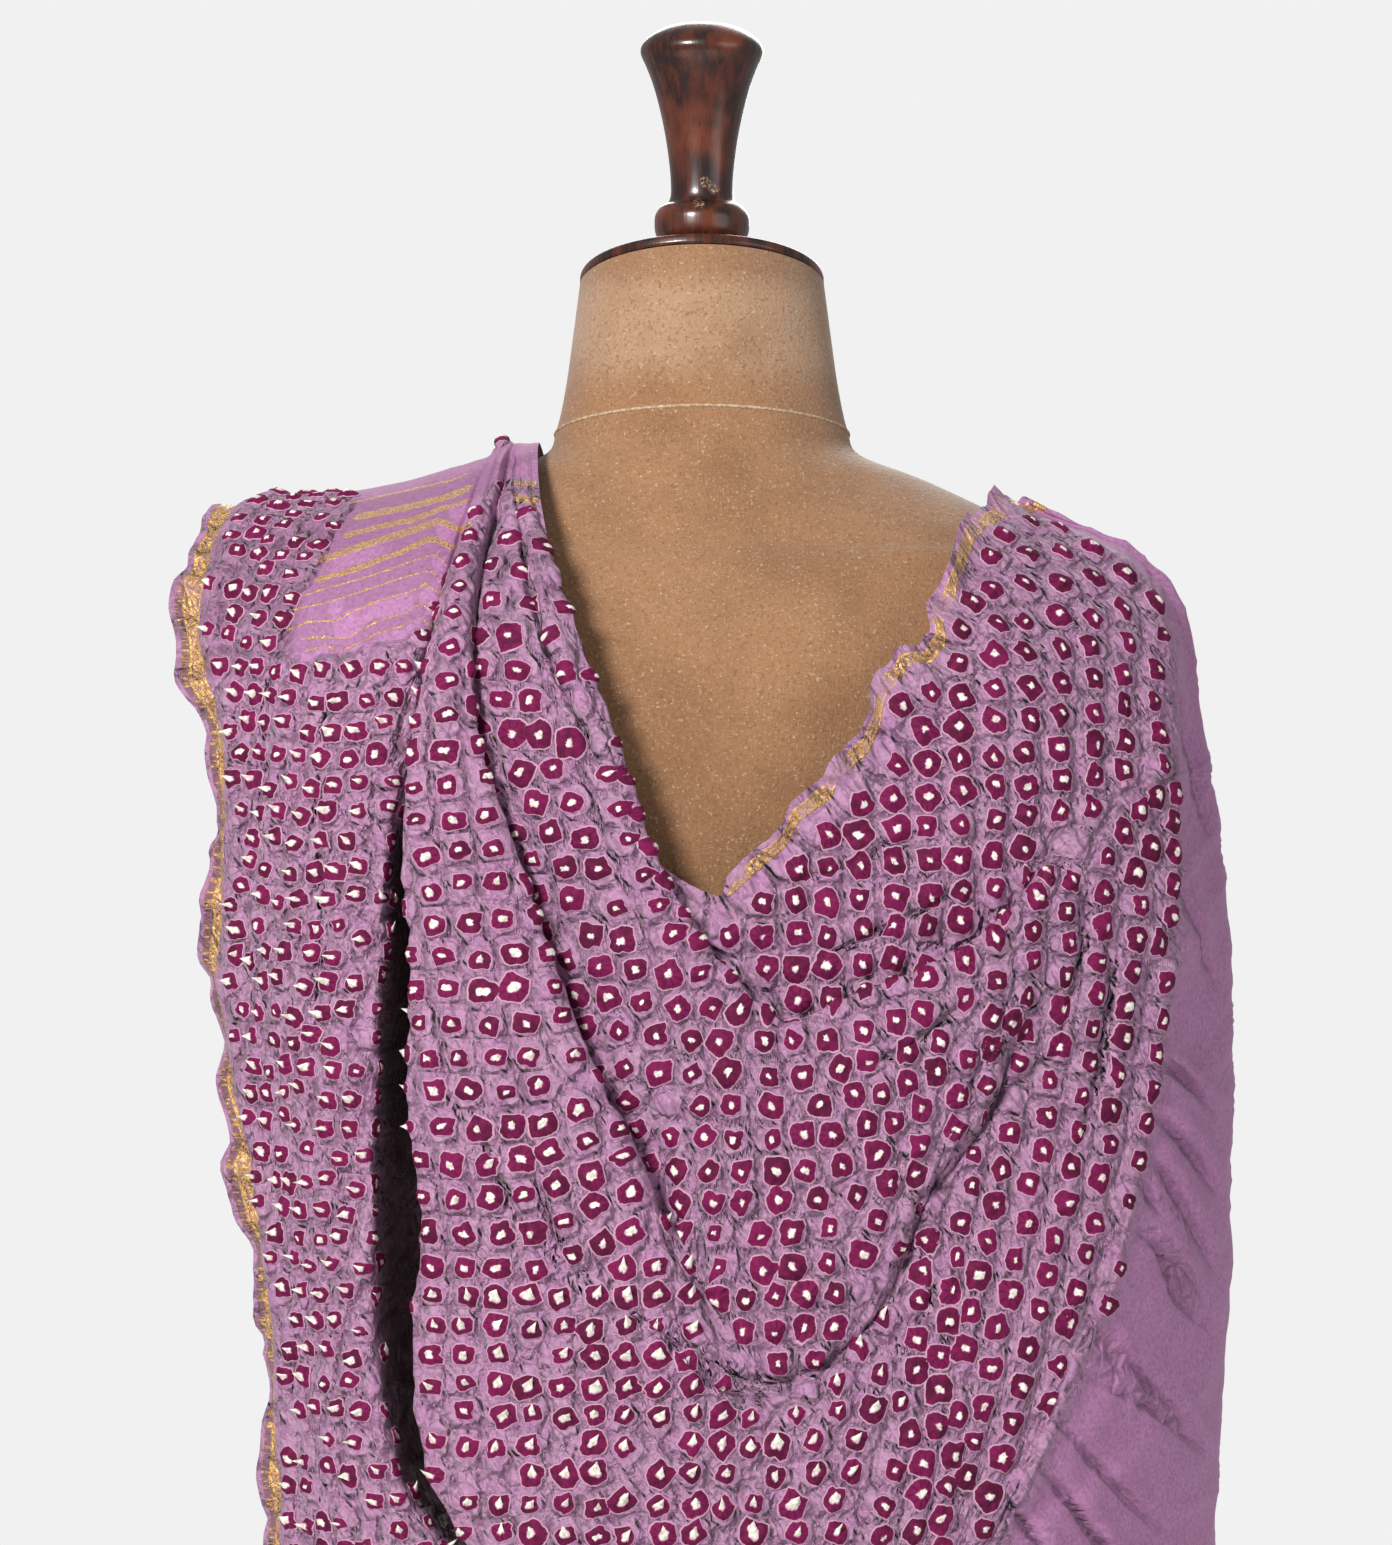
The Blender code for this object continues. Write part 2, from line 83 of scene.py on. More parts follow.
# The turned finial, foot to crown: radius and height above the foot.
FINIAL = (
    (0.0165, 0.0000),
    (0.0185, 0.0140),
    (0.0204, 0.0185),
    (0.0208, 0.0225),
    (0.0204, 0.0265),
    (0.0180, 0.0300),
    (0.0150, 0.0318),
    (0.0138, 0.0345),
    (0.0137, 0.0420),
    (0.0152, 0.0560),
    (0.0178, 0.0700),
    (0.0212, 0.0830),
    (0.0246, 0.0920),
    (0.0266, 0.0965),
    (0.0269, 0.0985),
    (0.0262, 0.1010),
    (0.0230, 0.1045),
    (0.0160, 0.1085),
    (0.0080, 0.1103),
)

# Silhouette and depth of the draped cloth: height, left and right half widths, half depth.
ClothSection = namedtuple("ClothSection", "height left right half_depth")
SILHOUETTE = (
    ClothSection(0.060, 0.196, 0.214, 0.124),
    ClothSection(0.166, 0.197, 0.215, 0.126),
    ClothSection(0.240, 0.199, 0.219, 0.122),
    ClothSection(0.330, 0.205, 0.226, 0.116),
    ClothSection(0.400, 0.217, 0.227, 0.114),
    ClothSection(0.450, 0.221, 0.224, 0.114),
    ClothSection(0.510, 0.219, 0.214, 0.112),
    ClothSection(0.560, 0.232, 0.207, 0.104),
    ClothSection(0.600, 0.232, 0.208, 0.092),
    ClothSection(0.650, 0.228, 0.208, 0.084),
)
# The line where the cloth passes over the shoulders: place in x and height.
SHOULDER_LINE = (
    (-0.232, 0.610),
    (-0.211, 0.616),
    (-0.088, 0.638),
    (-0.060, 0.650),
    (0.060, 0.650),
    (0.111, 0.625),
    (0.133, 0.6170),
    (0.173, 0.5985),
    (0.203, 0.582),
    (0.212, 0.560),
)

# One row for each weft line, from the hanging end round to the end behind. "side" is -1 on the
# front and 1 on the back. The nine places run from the bordered neck edge to the outer edge.
Places = namedtuple("Places", "side border inner neck roll crease ridge gap panel edge")
WEFT_LINES = (
    Places(1, (600, 1310), (588, 1310), (574, 1310), (540, 1310), (505, 1310), (470, 1310),
           (432, 1310), (340, 1310), (244, 1306)),
    Places(1, (596, 1110), (582, 1110), (568, 1110), (540, 1110), (506, 1110), (474, 1110),
           (440, 1110), (345, 1108), (240, 1104)),
    Places(1, (586, 900), (574, 900), (562, 900), (538, 900), (508, 900), (480, 900),
           (450, 898), (348, 893), (236, 886)),
    Places(1, (566, 700), (558, 700), (550, 700), (534, 700), (514, 700), (495, 698),
           (474, 696), (352, 690), (228, 682)),
    Places(1, (560, 560), (555, 560), (545, 560), (531, 560), (517, 562), (504, 564),
           (490, 566), (360, 578), (222, 590)),
    Places(0, (543, 452), (539, 452), (532, 453), (523, 454), (515, 456), (507, 458),
           (499, 462), (368, 496), (216, 507)),
    Places(-1, (542, 514), (537, 515), (527, 515), (511, 517), (494, 514), (484, 518),
           (472, 522), (340, 560), (190, 548)),
    Places(-1, (569, 623), (561, 624), (573, 622), (524, 626), (472, 625), (455, 632),
           (436, 641), (303, 652), (177, 634)),
    Places(-1, (610, 742), (597, 743), (616, 742), (553, 745), (481, 742), (448, 746),
           (413, 751), (303, 756), (205, 742)),
    Places(-1, (645, 848), (630, 850), (652, 848), (590, 851), (518, 850), (462, 857),
           (408, 862), (302, 865), (206, 852)),
    Places(-1, (714, 895), (688, 921), (696, 930), (626, 955), (556, 965), (482, 968),
           (413, 968), (305, 968), (204, 962)),
    Places(-1, (727, 876), (724, 940), (733, 977), (668, 1035), (598, 1075), (506, 1088),
           (412, 1085), (314, 1082), (220, 1074)),
    Places(-1, (748, 853), (758, 940), (760, 1005), (714, 1105), (645, 1165), (530, 1208),
           (424, 1210), (325, 1204), (240, 1192)),
    Places(-1, (775, 838), (788, 930), (783, 1021), (747, 1170), (694, 1288), (552, 1332),
           (416, 1340), (326, 1338), (256, 1322)),
    Places(-1, (800, 806), (834, 912), (808, 1015), (786, 1190), (742, 1382), (605, 1462),
           (440, 1490), (335, 1482), (260, 1462)),
    Places(-1, (838, 770), (878, 882), (846, 997), (832, 1190), (794, 1392), (695, 1540),
           (545, 1615), (395, 1630), (282, 1650)),
    Places(-1, (864, 722), (926, 845), (896, 977), (886, 1150), (846, 1348), (780, 1540),
           (680, 1655), (560, 1700), (425, 1738)),
    Places(-1, (880, 670), (974, 800), (950, 951), (936, 1090), (890, 1275), (858, 1500),
           (778, 1660), (705, 1712), (620, 1748)),
    Places(-1, (916, 633), (1018, 750), (1000, 917), (986, 1030), (938, 1182), (925, 1440),
           (838, 1645), (782, 1706), (722, 1750)),
    Places(-1, (938, 590), (1056, 700), (1045, 874), (1038, 965), (1000, 1110), (985, 1390),
           (888, 1625), (838, 1695), (790, 1750)),
    Places(-1, (953, 540), (1094, 652), (1096, 832), (1096, 935), (1076, 1085), (1037, 1345),
           (932, 1604), (882, 1685), (838, 1750)),
    Places(-1, (975, 514), (1128, 616), (1150, 790), (1150, 905), (1133, 1080), (1087, 1300),
           (975, 1568), (918, 1674), (872, 1750)),
    Places(-1, (998, 505), (1148, 600), (1176, 780), (1178, 905), (1158, 1085), (1108, 1290),
           (1004, 1535), (945, 1662), (903, 1750)),
    Places(-0.8, (1012, 508), (1158, 592), (1194, 780), (1202, 905), (1197, 1085), (1178, 1290),
           (1120, 1520), (1075, 1655), (1040, 1746)),
    Places(0, (1030, 515), (1160, 588), (1198, 780), (1214, 905), (1220, 1060), (1216, 1250),
           (1207, 1480), (1201, 1640), (1196, 1742)),
    Places(0.9, (1010, 535), (1110, 620), (1146, 780), (1160, 905), (1170, 1060), (1172, 1250),
           (1168, 1480), (1164, 1640), (1160, 1745)),
    Places(1, (905, 600), (965, 680), (1000, 800), (1015, 905), (1020, 1060), (1020, 1250),
           (1018, 1480), (1015, 1640), (1012, 1748)),
    Places(1, (770, 660), (800, 730), (820, 820), (828, 910), (832, 1060), (832, 1250),
           (830, 1480), (828, 1640), (826, 1750)),
    Places(1, (630, 705), (640, 770), (646, 845), (650, 920), (652, 1060), (652, 1250),
           (650, 1480), (648, 1640), (646, 1750)),
    Places(1, (508, 745), (512, 800), (514, 865), (516, 935), (517, 1060), (517, 1250),
           (516, 1480), (514, 1640), (512, 1750)),
)

# The folds at each weft line, in millimetres above the cloth's own rounded shape. A lap is how
# far the lower layer runs on beneath a fold's edge, and "open" is the width of a hollow beside it.
Folds = namedtuple(
    "Folds",
    "floor neck_lap neck_top roll_top pool_open pool_floor ridge_lap ridge_top gap_lap "
    "gap_floor gap_open panel_top",
)
FOLDS = (
    Folds(15, 0, 16, 17, 8, 14, 0, 19, 0, 14, 8, 17),
    Folds(15, 0, 16, 18, 8, 14, 0, 21, 0, 14, 8, 18),
    Folds(15, 0, 16, 18, 8, 13, 0, 21, 0, 13, 8, 18),
    Folds(12, 0, 13, 15, 6, 11, 0, 18, 0, 11, 6, 14),
    Folds(8, 0, 9, 10, 4, 7, 0, 12, 0, 7, 5, 10),
    Folds(4, 0, 4, 4, 3, 4, 0, 4.5, 0, 4, 4, 4),
    Folds(4, 0, 9, 10, 4, 4, 0, 13, 0, 4, 4, 7),
    Folds(4, 13, 14, 13, 5, 5, 0, 17, 0, 5, 4, 9),
    Folds(4, 18, 16, 14, 6, 5, 6, 20, 6, 5, 5, 12),
    Folds(4, 20, 17, 15, 7, 5, 8, 22, 8, 4, 7, 15),
    Folds(4, 20, 17, 16, 8, 5, 8, 24, 8, 4, 12, 17),
    Folds(4, 20, 18, 18, 14, 5, 8, 25, 8, 4, 15, 18),
    Folds(4, 20, 18, 20, 22, 5, 6, 25, 8, 4, 20, 18),
    Folds(4, 20, 18, 21, 18, 13, 0, 19, 8, 4, 17, 17),
    Folds(4, 20, 18, 21, 24, 14, 0, 17, 6, 5, 14, 15),
    Folds(4, 20, 18, 20, 26, 13, 0, 15, 0, 6, 12, 12),
    Folds(4, 20, 18, 19, 26, 13, 0, 14, 0, 7, 12, 11),
    Folds(4, 19, 18, 17, 24, 12, 0, 12, 0, 8, 12, 10),
    Folds(4, 15, 17, 16, 18, 9, 0, 11, 0, 8, 12, 9),
    Folds(4, 0, 12, 12, 14, 8, 0, 9, 0, 7, 12, 8),
    Folds(4, 0, 6, 8, 12, 6, 0, 8, 0, 6, 12, 7),
    Folds(5, 0, 5, 6, 12, 5, 0, 6, 0, 5, 12, 6),
    Folds(5, 0, 5, 5, 12, 5, 0, 5, 0, 5, 12, 5),
    Folds(5, 0, 5, 5, 12, 5, 0, 5, 0, 5, 12, 5),
    Folds(5, 0, 5, 5, 12, 5, 0, 5, 0, 5, 12, 5),
    Folds(5, 0, 5, 5, 12, 5, 0, 5, 0, 5, 12, 5),
    Folds(5, 0, 5, 5, 12, 5, 0, 5, 0, 5, 12, 5),
    Folds(5, 0, 5, 5, 12, 5, 0, 5, 0, 5, 12, 5),
    Folds(4, 0, 4, 4, 12, 4, 0, 4, 0, 4, 12, 4),
    Folds(4, 0, 4, 4, 12, 4, 0, 4, 0, 4, 12, 4),
)
LIP_DROP = 4.0

# Fine rows between two weft lines, and fine columns between two places of a weft line.
ROW_STEPS = (8,) * 5 + (14,) * 20 + (8,) * 4
COLUMN_STEPS = (
    26, 26, 3, 3, 7, 3, 4, 24, 24, 6, 3, 3, 4, 3, 4, 22, 20, 4, 3, 4, 3, 3, 8, 20, 26,
)
ROW_AT = np.concatenate([[0], np.cumsum(ROW_STEPS)])
COLUMN_AT = np.concatenate([[0], np.cumsum(COLUMN_STEPS)])

# Places along a weft line, by their number in it.
NECK_UNDER, NECK_CREST, POOL_LIP, CREASE_UNDER, CREASE_CREST, RIDGE = 2, 6, 9, 10, 14, 16
GAP_CREST, GAP_UNDER, PANEL_LIP, PANEL, OUTER_EDGE = 18, 22, 23, 24, 25

OUTER_BORDER = 0.020
NECK_BORDER = 0.0135


def clamp01(value):
    return np.clip(value, 0.0, 1.0)


def smoothstep(low, high, value):
    share = clamp01((value - low) / (high - low))
    return share * share * (3 - 2 * share)


def column_of(table, name):
    return [getattr(row, name) for row in table]


def smooth_line(points, counts):
    """A curve through the points, with counts[i] steps between points i and i + 1.

    The knots are spaced by the root of each chord, so that uneven points bring no loops.
    """
    points = np.asarray(points, float)
    line = np.concatenate([[2 * points[0] - points[1]], points, [2 * points[-1] - points[-2]]])
    chord = np.linalg.norm(np.diff(line, axis=0), axis=-1)
    while chord.ndim > 1:
        chord = chord.mean(axis=-1)
    knot = np.concatenate([[0.0], np.cumsum(np.sqrt(np.maximum(chord, 1e-6)))])
    made = []
    for i, count in enumerate(counts):
        a, b, c, d = line[i : i + 4]
        ka, kb, kc, kd = knot[i : i + 4]
        for step in range(count):
            t = kb + (kc - kb) * step / count
            ab = a + (b - a) * (t - ka) / (kb - ka)
            bc = b + (c - b) * (t - kb) / (kc - kb)
            cd = c + (d - c) * (t - kc) / (kd - kc)
            abc = ab + (bc - ab) * (t - ka) / (kc - ka)
            bcd = bc + (cd - bc) * (t - kb) / (kd - kb)
            made.append(abc + (bcd - abc) * (t - kb) / (kc - kb))
    made.append(points[-1])
    return np.array(made)


def seen(place):
    """A place in the picture plane as x and height in metres."""
    x = (place[0] - PLANE_MIDDLE) * UNIT
    return np.array([x, TOTAL_HEIGHT - (place[1] - PLANE_TOP) * UNIT])


def picture_place(points):
    """Where points of the front lie in the picture plane, as seen from the sight point."""
    nearer = 1.0 + points[..., 1] / SIGHT_DISTANCE
    x = points[..., 0] / nearer / UNIT + PLANE_MIDDLE
    height = SIGHT_HEIGHT + (points[..., 2] - SIGHT_HEIGHT) / nearer
    return x, (TOTAL_HEIGHT - height) / UNIT + PLANE_TOP


def form_depth(x, height):
    """How far the form's surface lies from its middle plane at this x and height."""
    heights = column_of(FORM, "height")
    half_width = np.interp(height, heights, column_of(FORM, "half_width"))
    half_depth = np.interp(height, heights, column_of(FORM, "half_depth"))
    power = np.interp(height, heights, column_of(FORM, "power"))
    share = max(0.0, 1.0 - abs(x / half_width) ** power)
    return half_depth * share ** (1 / power)


def cloth_base(x, height, side):
    """The rounded shape under the folds, and the way up out of it."""
    heights = column_of(SILHOUETTE, "height")
    half_width = np.interp(height, heights, column_of(SILHOUETTE, "right" if x > 0 else "left"))
    half_depth = np.interp(height, heights, column_of(SILHOUETTE, "half_depth"))
    line = np.array(SHOULDER_LINE)
    drop = (np.interp(x, line[:, 0], line[:, 1]) - height) / SHOULDER_ROUND
    up = 1.0 - min(1.0, max(0.0, drop))
    out = math.sqrt(max(0.0, 1.0 - up * up))
    across = max(0.0, 1.0 - min(1.0, abs(x / half_width)) ** SIDE_POWER) ** (1 / SIDE_POWER)
    depth = half_depth * across * out
    if abs(side) == 1:
        depth = max(depth, form_depth(x, height) + FORM_CLEARANCE)
    y = side * depth
    nearer = 1.0 + min(0.0, y) / SIGHT_DISTANCE
    place = np.array([x * nearer, y, SIGHT_HEIGHT + (height - SIGHT_HEIGHT) * nearer])
    way = np.array([0.0, float(np.sign(side)) * max(out, 1e-3), up])
    if side == 0:
        way = np.array([float(np.sign(x)) * out, 0.0, up])
    return place, way / max(np.linalg.norm(way), 1e-9)


def lap(width, floor, top, reach):
    """A fold whose upper layer starts at 0 and covers the lower layer out to the width.

    Each pair is the distance past the fold's edge and the height, in millimetres.
    """
    share = min(1.0, width / 12.0)
    under = (width - 2.0, width + 2.0, width - 2.0, 3.0, 0.0, reach)
    wall = (-0.9 * reach, -0.6 * reach, -0.35 * reach, -0.15 * reach, 0.1 * reach, reach)
    rise_under = (0.0, 0.22, 0.46, 0.52, 0.76, 1.0)
    rise_wall = (0.0, 0.15, 0.42, 0.62, 0.84, 1.0)
    pairs = []
    for a, b, c, d in zip(wall, under, rise_wall, rise_under):
        rise = c + (d - c) * share
        pairs.append((a + (b - a) * share, floor + (top - floor) * rise))
    return pairs


def weft_line(row, folds):
    """The places of one weft line: each is x, height and rise over the base, in metres."""
    at = {name: seen(getattr(row, name)) for name in Places._fields[1:]}

    def shifted(name, towards, distance):
        way = at[towards] - at[name]
        return at[name] + way / np.linalg.norm(way) * distance * 1e-3

    def room(name, towards, share):
        return min(6.0, share * 1e3 * np.linalg.norm(at[towards] - at[name]))

    line = [(at["border"], folds.floor), (at["inner"], folds.floor)]
    reach = room("neck", "roll", 0.35)
    for distance, height in lap(folds.neck_lap, folds.floor, folds.neck_top, reach):
        line.append((shifted("neck", "roll", distance), height))
    line.append((at["roll"], folds.roll_top))
    pool = min(folds.pool_open, 0.7e3 * np.linalg.norm(at["roll"] - at["crease"]))
    lip = max(folds.pool_floor, folds.roll_top - LIP_DROP)
    line.append((shifted("crease", "roll", pool), lip))
    reach = min(room("crease", "ridge", 0.5), 0.6 * pool)
    for distance, height in lap(folds.ridge_lap, folds.pool_floor, folds.ridge_top, reach):
        line.append((shifted("crease", "ridge", distance), height))
    line.append((at["ridge"], folds.ridge_top + 1.5))
    reach = min(room("gap", "ridge", 0.5), 0.6 * folds.gap_open)
    for distance, height in reversed(lap(folds.gap_lap, folds.gap_floor, folds.ridge_top, reach)):
        line.append((shifted("gap", "ridge", distance), height))
    line.append((shifted("gap", "panel", folds.gap_open), folds.panel_top - 1.0))
    line.append((at["panel"], folds.panel_top))
    line.append((at["edge"], folds.panel_top - 2.0))
    return line


def sheet_grid():
    """The cloth's middle surface as a fine grid of points, warp by weft."""
    frame_points = []
    for row, folds in zip(WEFT_LINES, FOLDS):
        points = []
        for (x, height), rise in weft_line(row, folds):
            place, way = cloth_base(x, height, row.side)
            points.append(place + way * rise * 1e-3)
        frame_points.append(points)
    along = smooth_line(np.array(frame_points), ROW_STEPS)
    return np.array([smooth_line(row, COLUMN_STEPS) for row in along])


def lattice_noise(u, v, seed):
    """Smooth noise from -1 to 1 with one value for each unit square."""
    table = np.random.default_rng(seed).uniform(-1, 1, (97, 97))
    low_u, low_v = np.floor(u).astype(int), np.floor(v).astype(int)
    share_u, share_v = u - low_u, v - low_v
    share_u = share_u * share_u * (3 - 2 * share_u)
    share_v = share_v * share_v * (3 - 2 * share_v)

    def corner(i, j):
        return table[(low_u + i) % 97, (low_v + j) % 97]

    near = corner(0, 0) * (1 - share_v) + corner(0, 1) * share_v
    far = corner(1, 0) * (1 - share_v) + corner(1, 1) * share_v
    return near * (1 - share_u) + far * share_u


def ridges(u, v, seed):
    """Noise with sharp crests, from 0 to 1."""
    return 1.0 - np.abs(lattice_noise(u, v, seed)) * 1.6


def billows(u, v, seed):
    """Noise of rounded puffs parted by sharp valleys, from 0 to about 1.4."""
    return np.abs(lattice_noise(u, v, seed)) * 1.6


class Cloth:
    """A grid of points with its normals and its lengths along warp and weft."""

    def __init__(self, points):
        self.points = points
        self.rows, self.columns = points.shape[:2]
        self.measure()

    def measure(self):
        self.by_row = np.gradient(self.points, axis=0)
        self.by_column = np.gradient(self.points, axis=1)
        normals = np.cross(self.by_column, self.by_row)
        middle = (ROW_AT[9], COLUMN_AT[PANEL])
        if normals[middle][1] > 0:
            normals = -normals
        self.normals = normals / np.maximum(np.linalg.norm(normals, axis=-1, keepdims=True), 1e-12)
        steps = np.linalg.norm(np.diff(self.points, axis=1), axis=-1)
        self.weft = np.concatenate([np.zeros((self.rows, 1)), np.cumsum(steps, axis=1)], axis=1)
        steps = np.linalg.norm(np.diff(self.points, axis=0), axis=-1)
        self.warp = np.concatenate([np.zeros((1, self.columns)), np.cumsum(steps, axis=0)], axis=0)

    def layer_places(self, row, column):
        """The points, with the layers of each fold moved apart so that they don't count as near."""
        moved = self.points.copy()
        numbers = np.arange(self.columns)
        for first, last, start, end, way in HIDDEN:
            across = smoothstep(COLUMN_AT[first] + 1, COLUMN_AT[last] - 1, numbers)
            moved[..., 1] += way * LAYER_GAP * across[None, :] * row_band(self, start, end, 1.2)
        return self.read(moved, row, column)

    def keep_smooth(self):
        """Keeps the uncrinkled directions, by which the rings are laid out."""
        self.smooth = (self.by_row, self.by_column, self.normals)

    def read(self, field, row, column):
        """The field's value between the grid's points."""
        row = np.clip(row, 0, self.rows - 1.001)
        column = np.clip(column, 0, self.columns - 1.001)
        i, j = row.astype(int), column.astype(int)
        s, t = row - i, column - j
        if field.ndim == 3:
            s, t = s[..., None], t[..., None]
        near = field[i, j] * (1 - t) + field[i, j + 1] * t
        far = field[i + 1, j] * (1 - t) + field[i + 1, j + 1] * t
        return near * (1 - s) + far * s

    def raise_by(self, height):
        """Moves each point out along its normal."""
        self.points = self.points + self.normals * height[..., None]


# Fields of tied rings that follow the long folds: the places they lie between, the place their
# columns run along, pitch along warp and weft and ring size in metres, and the weft lines they
# span. Then for every field: the share with a raised tip, the tip's reach, and the size of the
# white middles.
FoldField = namedtuple("FoldField", "first last guide warp weft start end radius tip reach white")
FOLD_FIELDS = (
    FoldField(CREASE_CREST, GAP_CREST, RIDGE, 0.0142, 0.0144, 5.4, 12.6, 0.0058, 0.35, 0.0030, 0.95),
    FoldField(GAP_CREST, OUTER_EDGE, PANEL, 0.0117, 0.0119, 5.1, 15.0, 0.0049, 0.85, 0.0044, 0.95),
    FoldField(GAP_CREST, OUTER_EDGE, PANEL, 0.0134, 0.0136, 15.0, 22.0, 0.0053, 0.90, 0.0048, 0.95),
)
# Fields laid out in the picture plane: pitch in x and y, the columns' slope for given heights on
# the left and right, the rows' slope across, and the same last four values.
PlaneField = namedtuple("PlaneField", "pitch_x pitch_y lean_left lean_right rise radius tip reach white")
PLANE_FIELDS = (
    PlaneField(33.0, 32.5, ((450, 0.0), (1800, 0.0)), ((450, 0.0), (1800, 0.0)),
               ((600, -0.02), (900, -0.08), (1200, -0.16)), 0.0060, 0.0, 0.0, 0.70),
    PlaneField(33.5, 32.0, ((450, 0.30), (850, 0.42), (1050, 0.24), (1250, 0.04), (1800, 0.0)),
               ((800, 0.0), (1000, -0.10), (1200, -0.22), (1800, -0.30)),
               ((480, 0.10), (640, 0.12), (760, 0.0), (860, -0.22), (980, -0.50), (1200, -0.62)),
               0.0060, 0.0, 0.0, 0.76),
    PlaneField(32.0, 29.5, ((450, 0.05), (1800, 0.0)), ((1000, -0.05), (1800, -0.20)),
               ((400, 0.02), (760, 0.0), (900, -0.20), (1050, -0.45), (1200, -0.55)),
               0.0056, 0.92, 0.0050, 0.98),
)
CHEST, COWL, LOW_FRONT, PLEAT, PANEL_FIELD = 0, 1, 2, 3, 4
LOW_START = 12.6
PANEL_SLANT = 0.36
DOT_SPINE = 16
DOT_RINGS = (0.16, 0.37, 0.52, 0.72, 0.90, 1.00, 1.10)
DOT_COLOURS = (0.16, 0.40, 0.52, 0.72, 0.90, 1.00, 1.10)
DOT_LIFT = 0.00030
# In radii of a ring: how far apart the rings of one layer lie at least, and how far from every
# ring bare cloth has to be to get one of its own.
LEAST_GAP = 1.84
HOLE_GAP = 2.02
MOST_STRETCH = 1.90
LAYER_GAP = 0.018
# How far from a lesser crease its sharp line is drawn, in millimetres.
CREASE_REACH = 3.6
# Parts of the weft lines that lie hidden under a fold: two places and two weft lines, and 1 where
# the cloth past them is the lower layer, -1 where it is the upper one.
HIDDEN = (
    (NECK_UNDER, NECK_CREST, 6.5, 18.6, -1),
    (CREASE_UNDER, CREASE_CREST, 7.5, 12.4, -1),
    (GAP_CREST, GAP_UNDER, 7.5, 14.4, 1),
)

# The plain patch of the shoulder, with woven gold lines, in the picture plane.
STRIPE_PATCH = (
    (352, 470), (540, 440), (545, 478), (492, 486), (470, 520), (447, 580), (430, 632),
    (372, 648), (300, 664), (282, 640), (296, 602), (318, 566), (330, 536), (350, 508),
)
# Woven gold lines from the top down: width in millimetres, then the places each runs through.
GOLD_LINES = (
    (0.9, ((352, 503), (400, 492), (450, 481), (494, 463))),
    (3.0, ((360, 516), (405, 508), (450, 496), (478, 484), (498, 468))),
    (2.4, ((346, 535), (385, 525), (412, 520), (440, 509), (466, 500), (515, 483), (533, 484))),
    (3.2, ((321, 560), (370, 543), (415, 529), (440, 520), (460, 531), (515, 497), (535, 501))),
    (2.8, ((317, 580), (346, 572), (374, 562), (405, 550), (430, 538), (452, 548))),
    (0.9, ((301, 596), (325, 588), (374, 574), (415, 560), (436, 553), (448, 566))),
    (0.9, ((293, 609), (327, 602), (364, 590), (405, 576), (430, 571), (442, 584))),
    (0.9, ((293, 629), (309, 621), (334, 621), (366, 604), (411, 590), (428, 582), (438, 592))),
    (0.9, ((303, 639), (325, 637), (342, 641), (372, 624), (409, 612), (418, 604), (436, 615))),
    (0.9, ((307, 650), (325, 645), (342, 650), (374, 634), (409, 622), (417, 615), (434, 626))),
)
# The gathered folds that break the lines, from left to right in the picture plane.
GATHER = (470, 514)
LINE_SLOPE = -0.26


# Hollows beside the folds: the places and weft lines that they lie between, and how deep.
HOLLOWS = (
    (GAP_CREST, PANEL_LIP, 8.6, 15.4, 0.036),
)


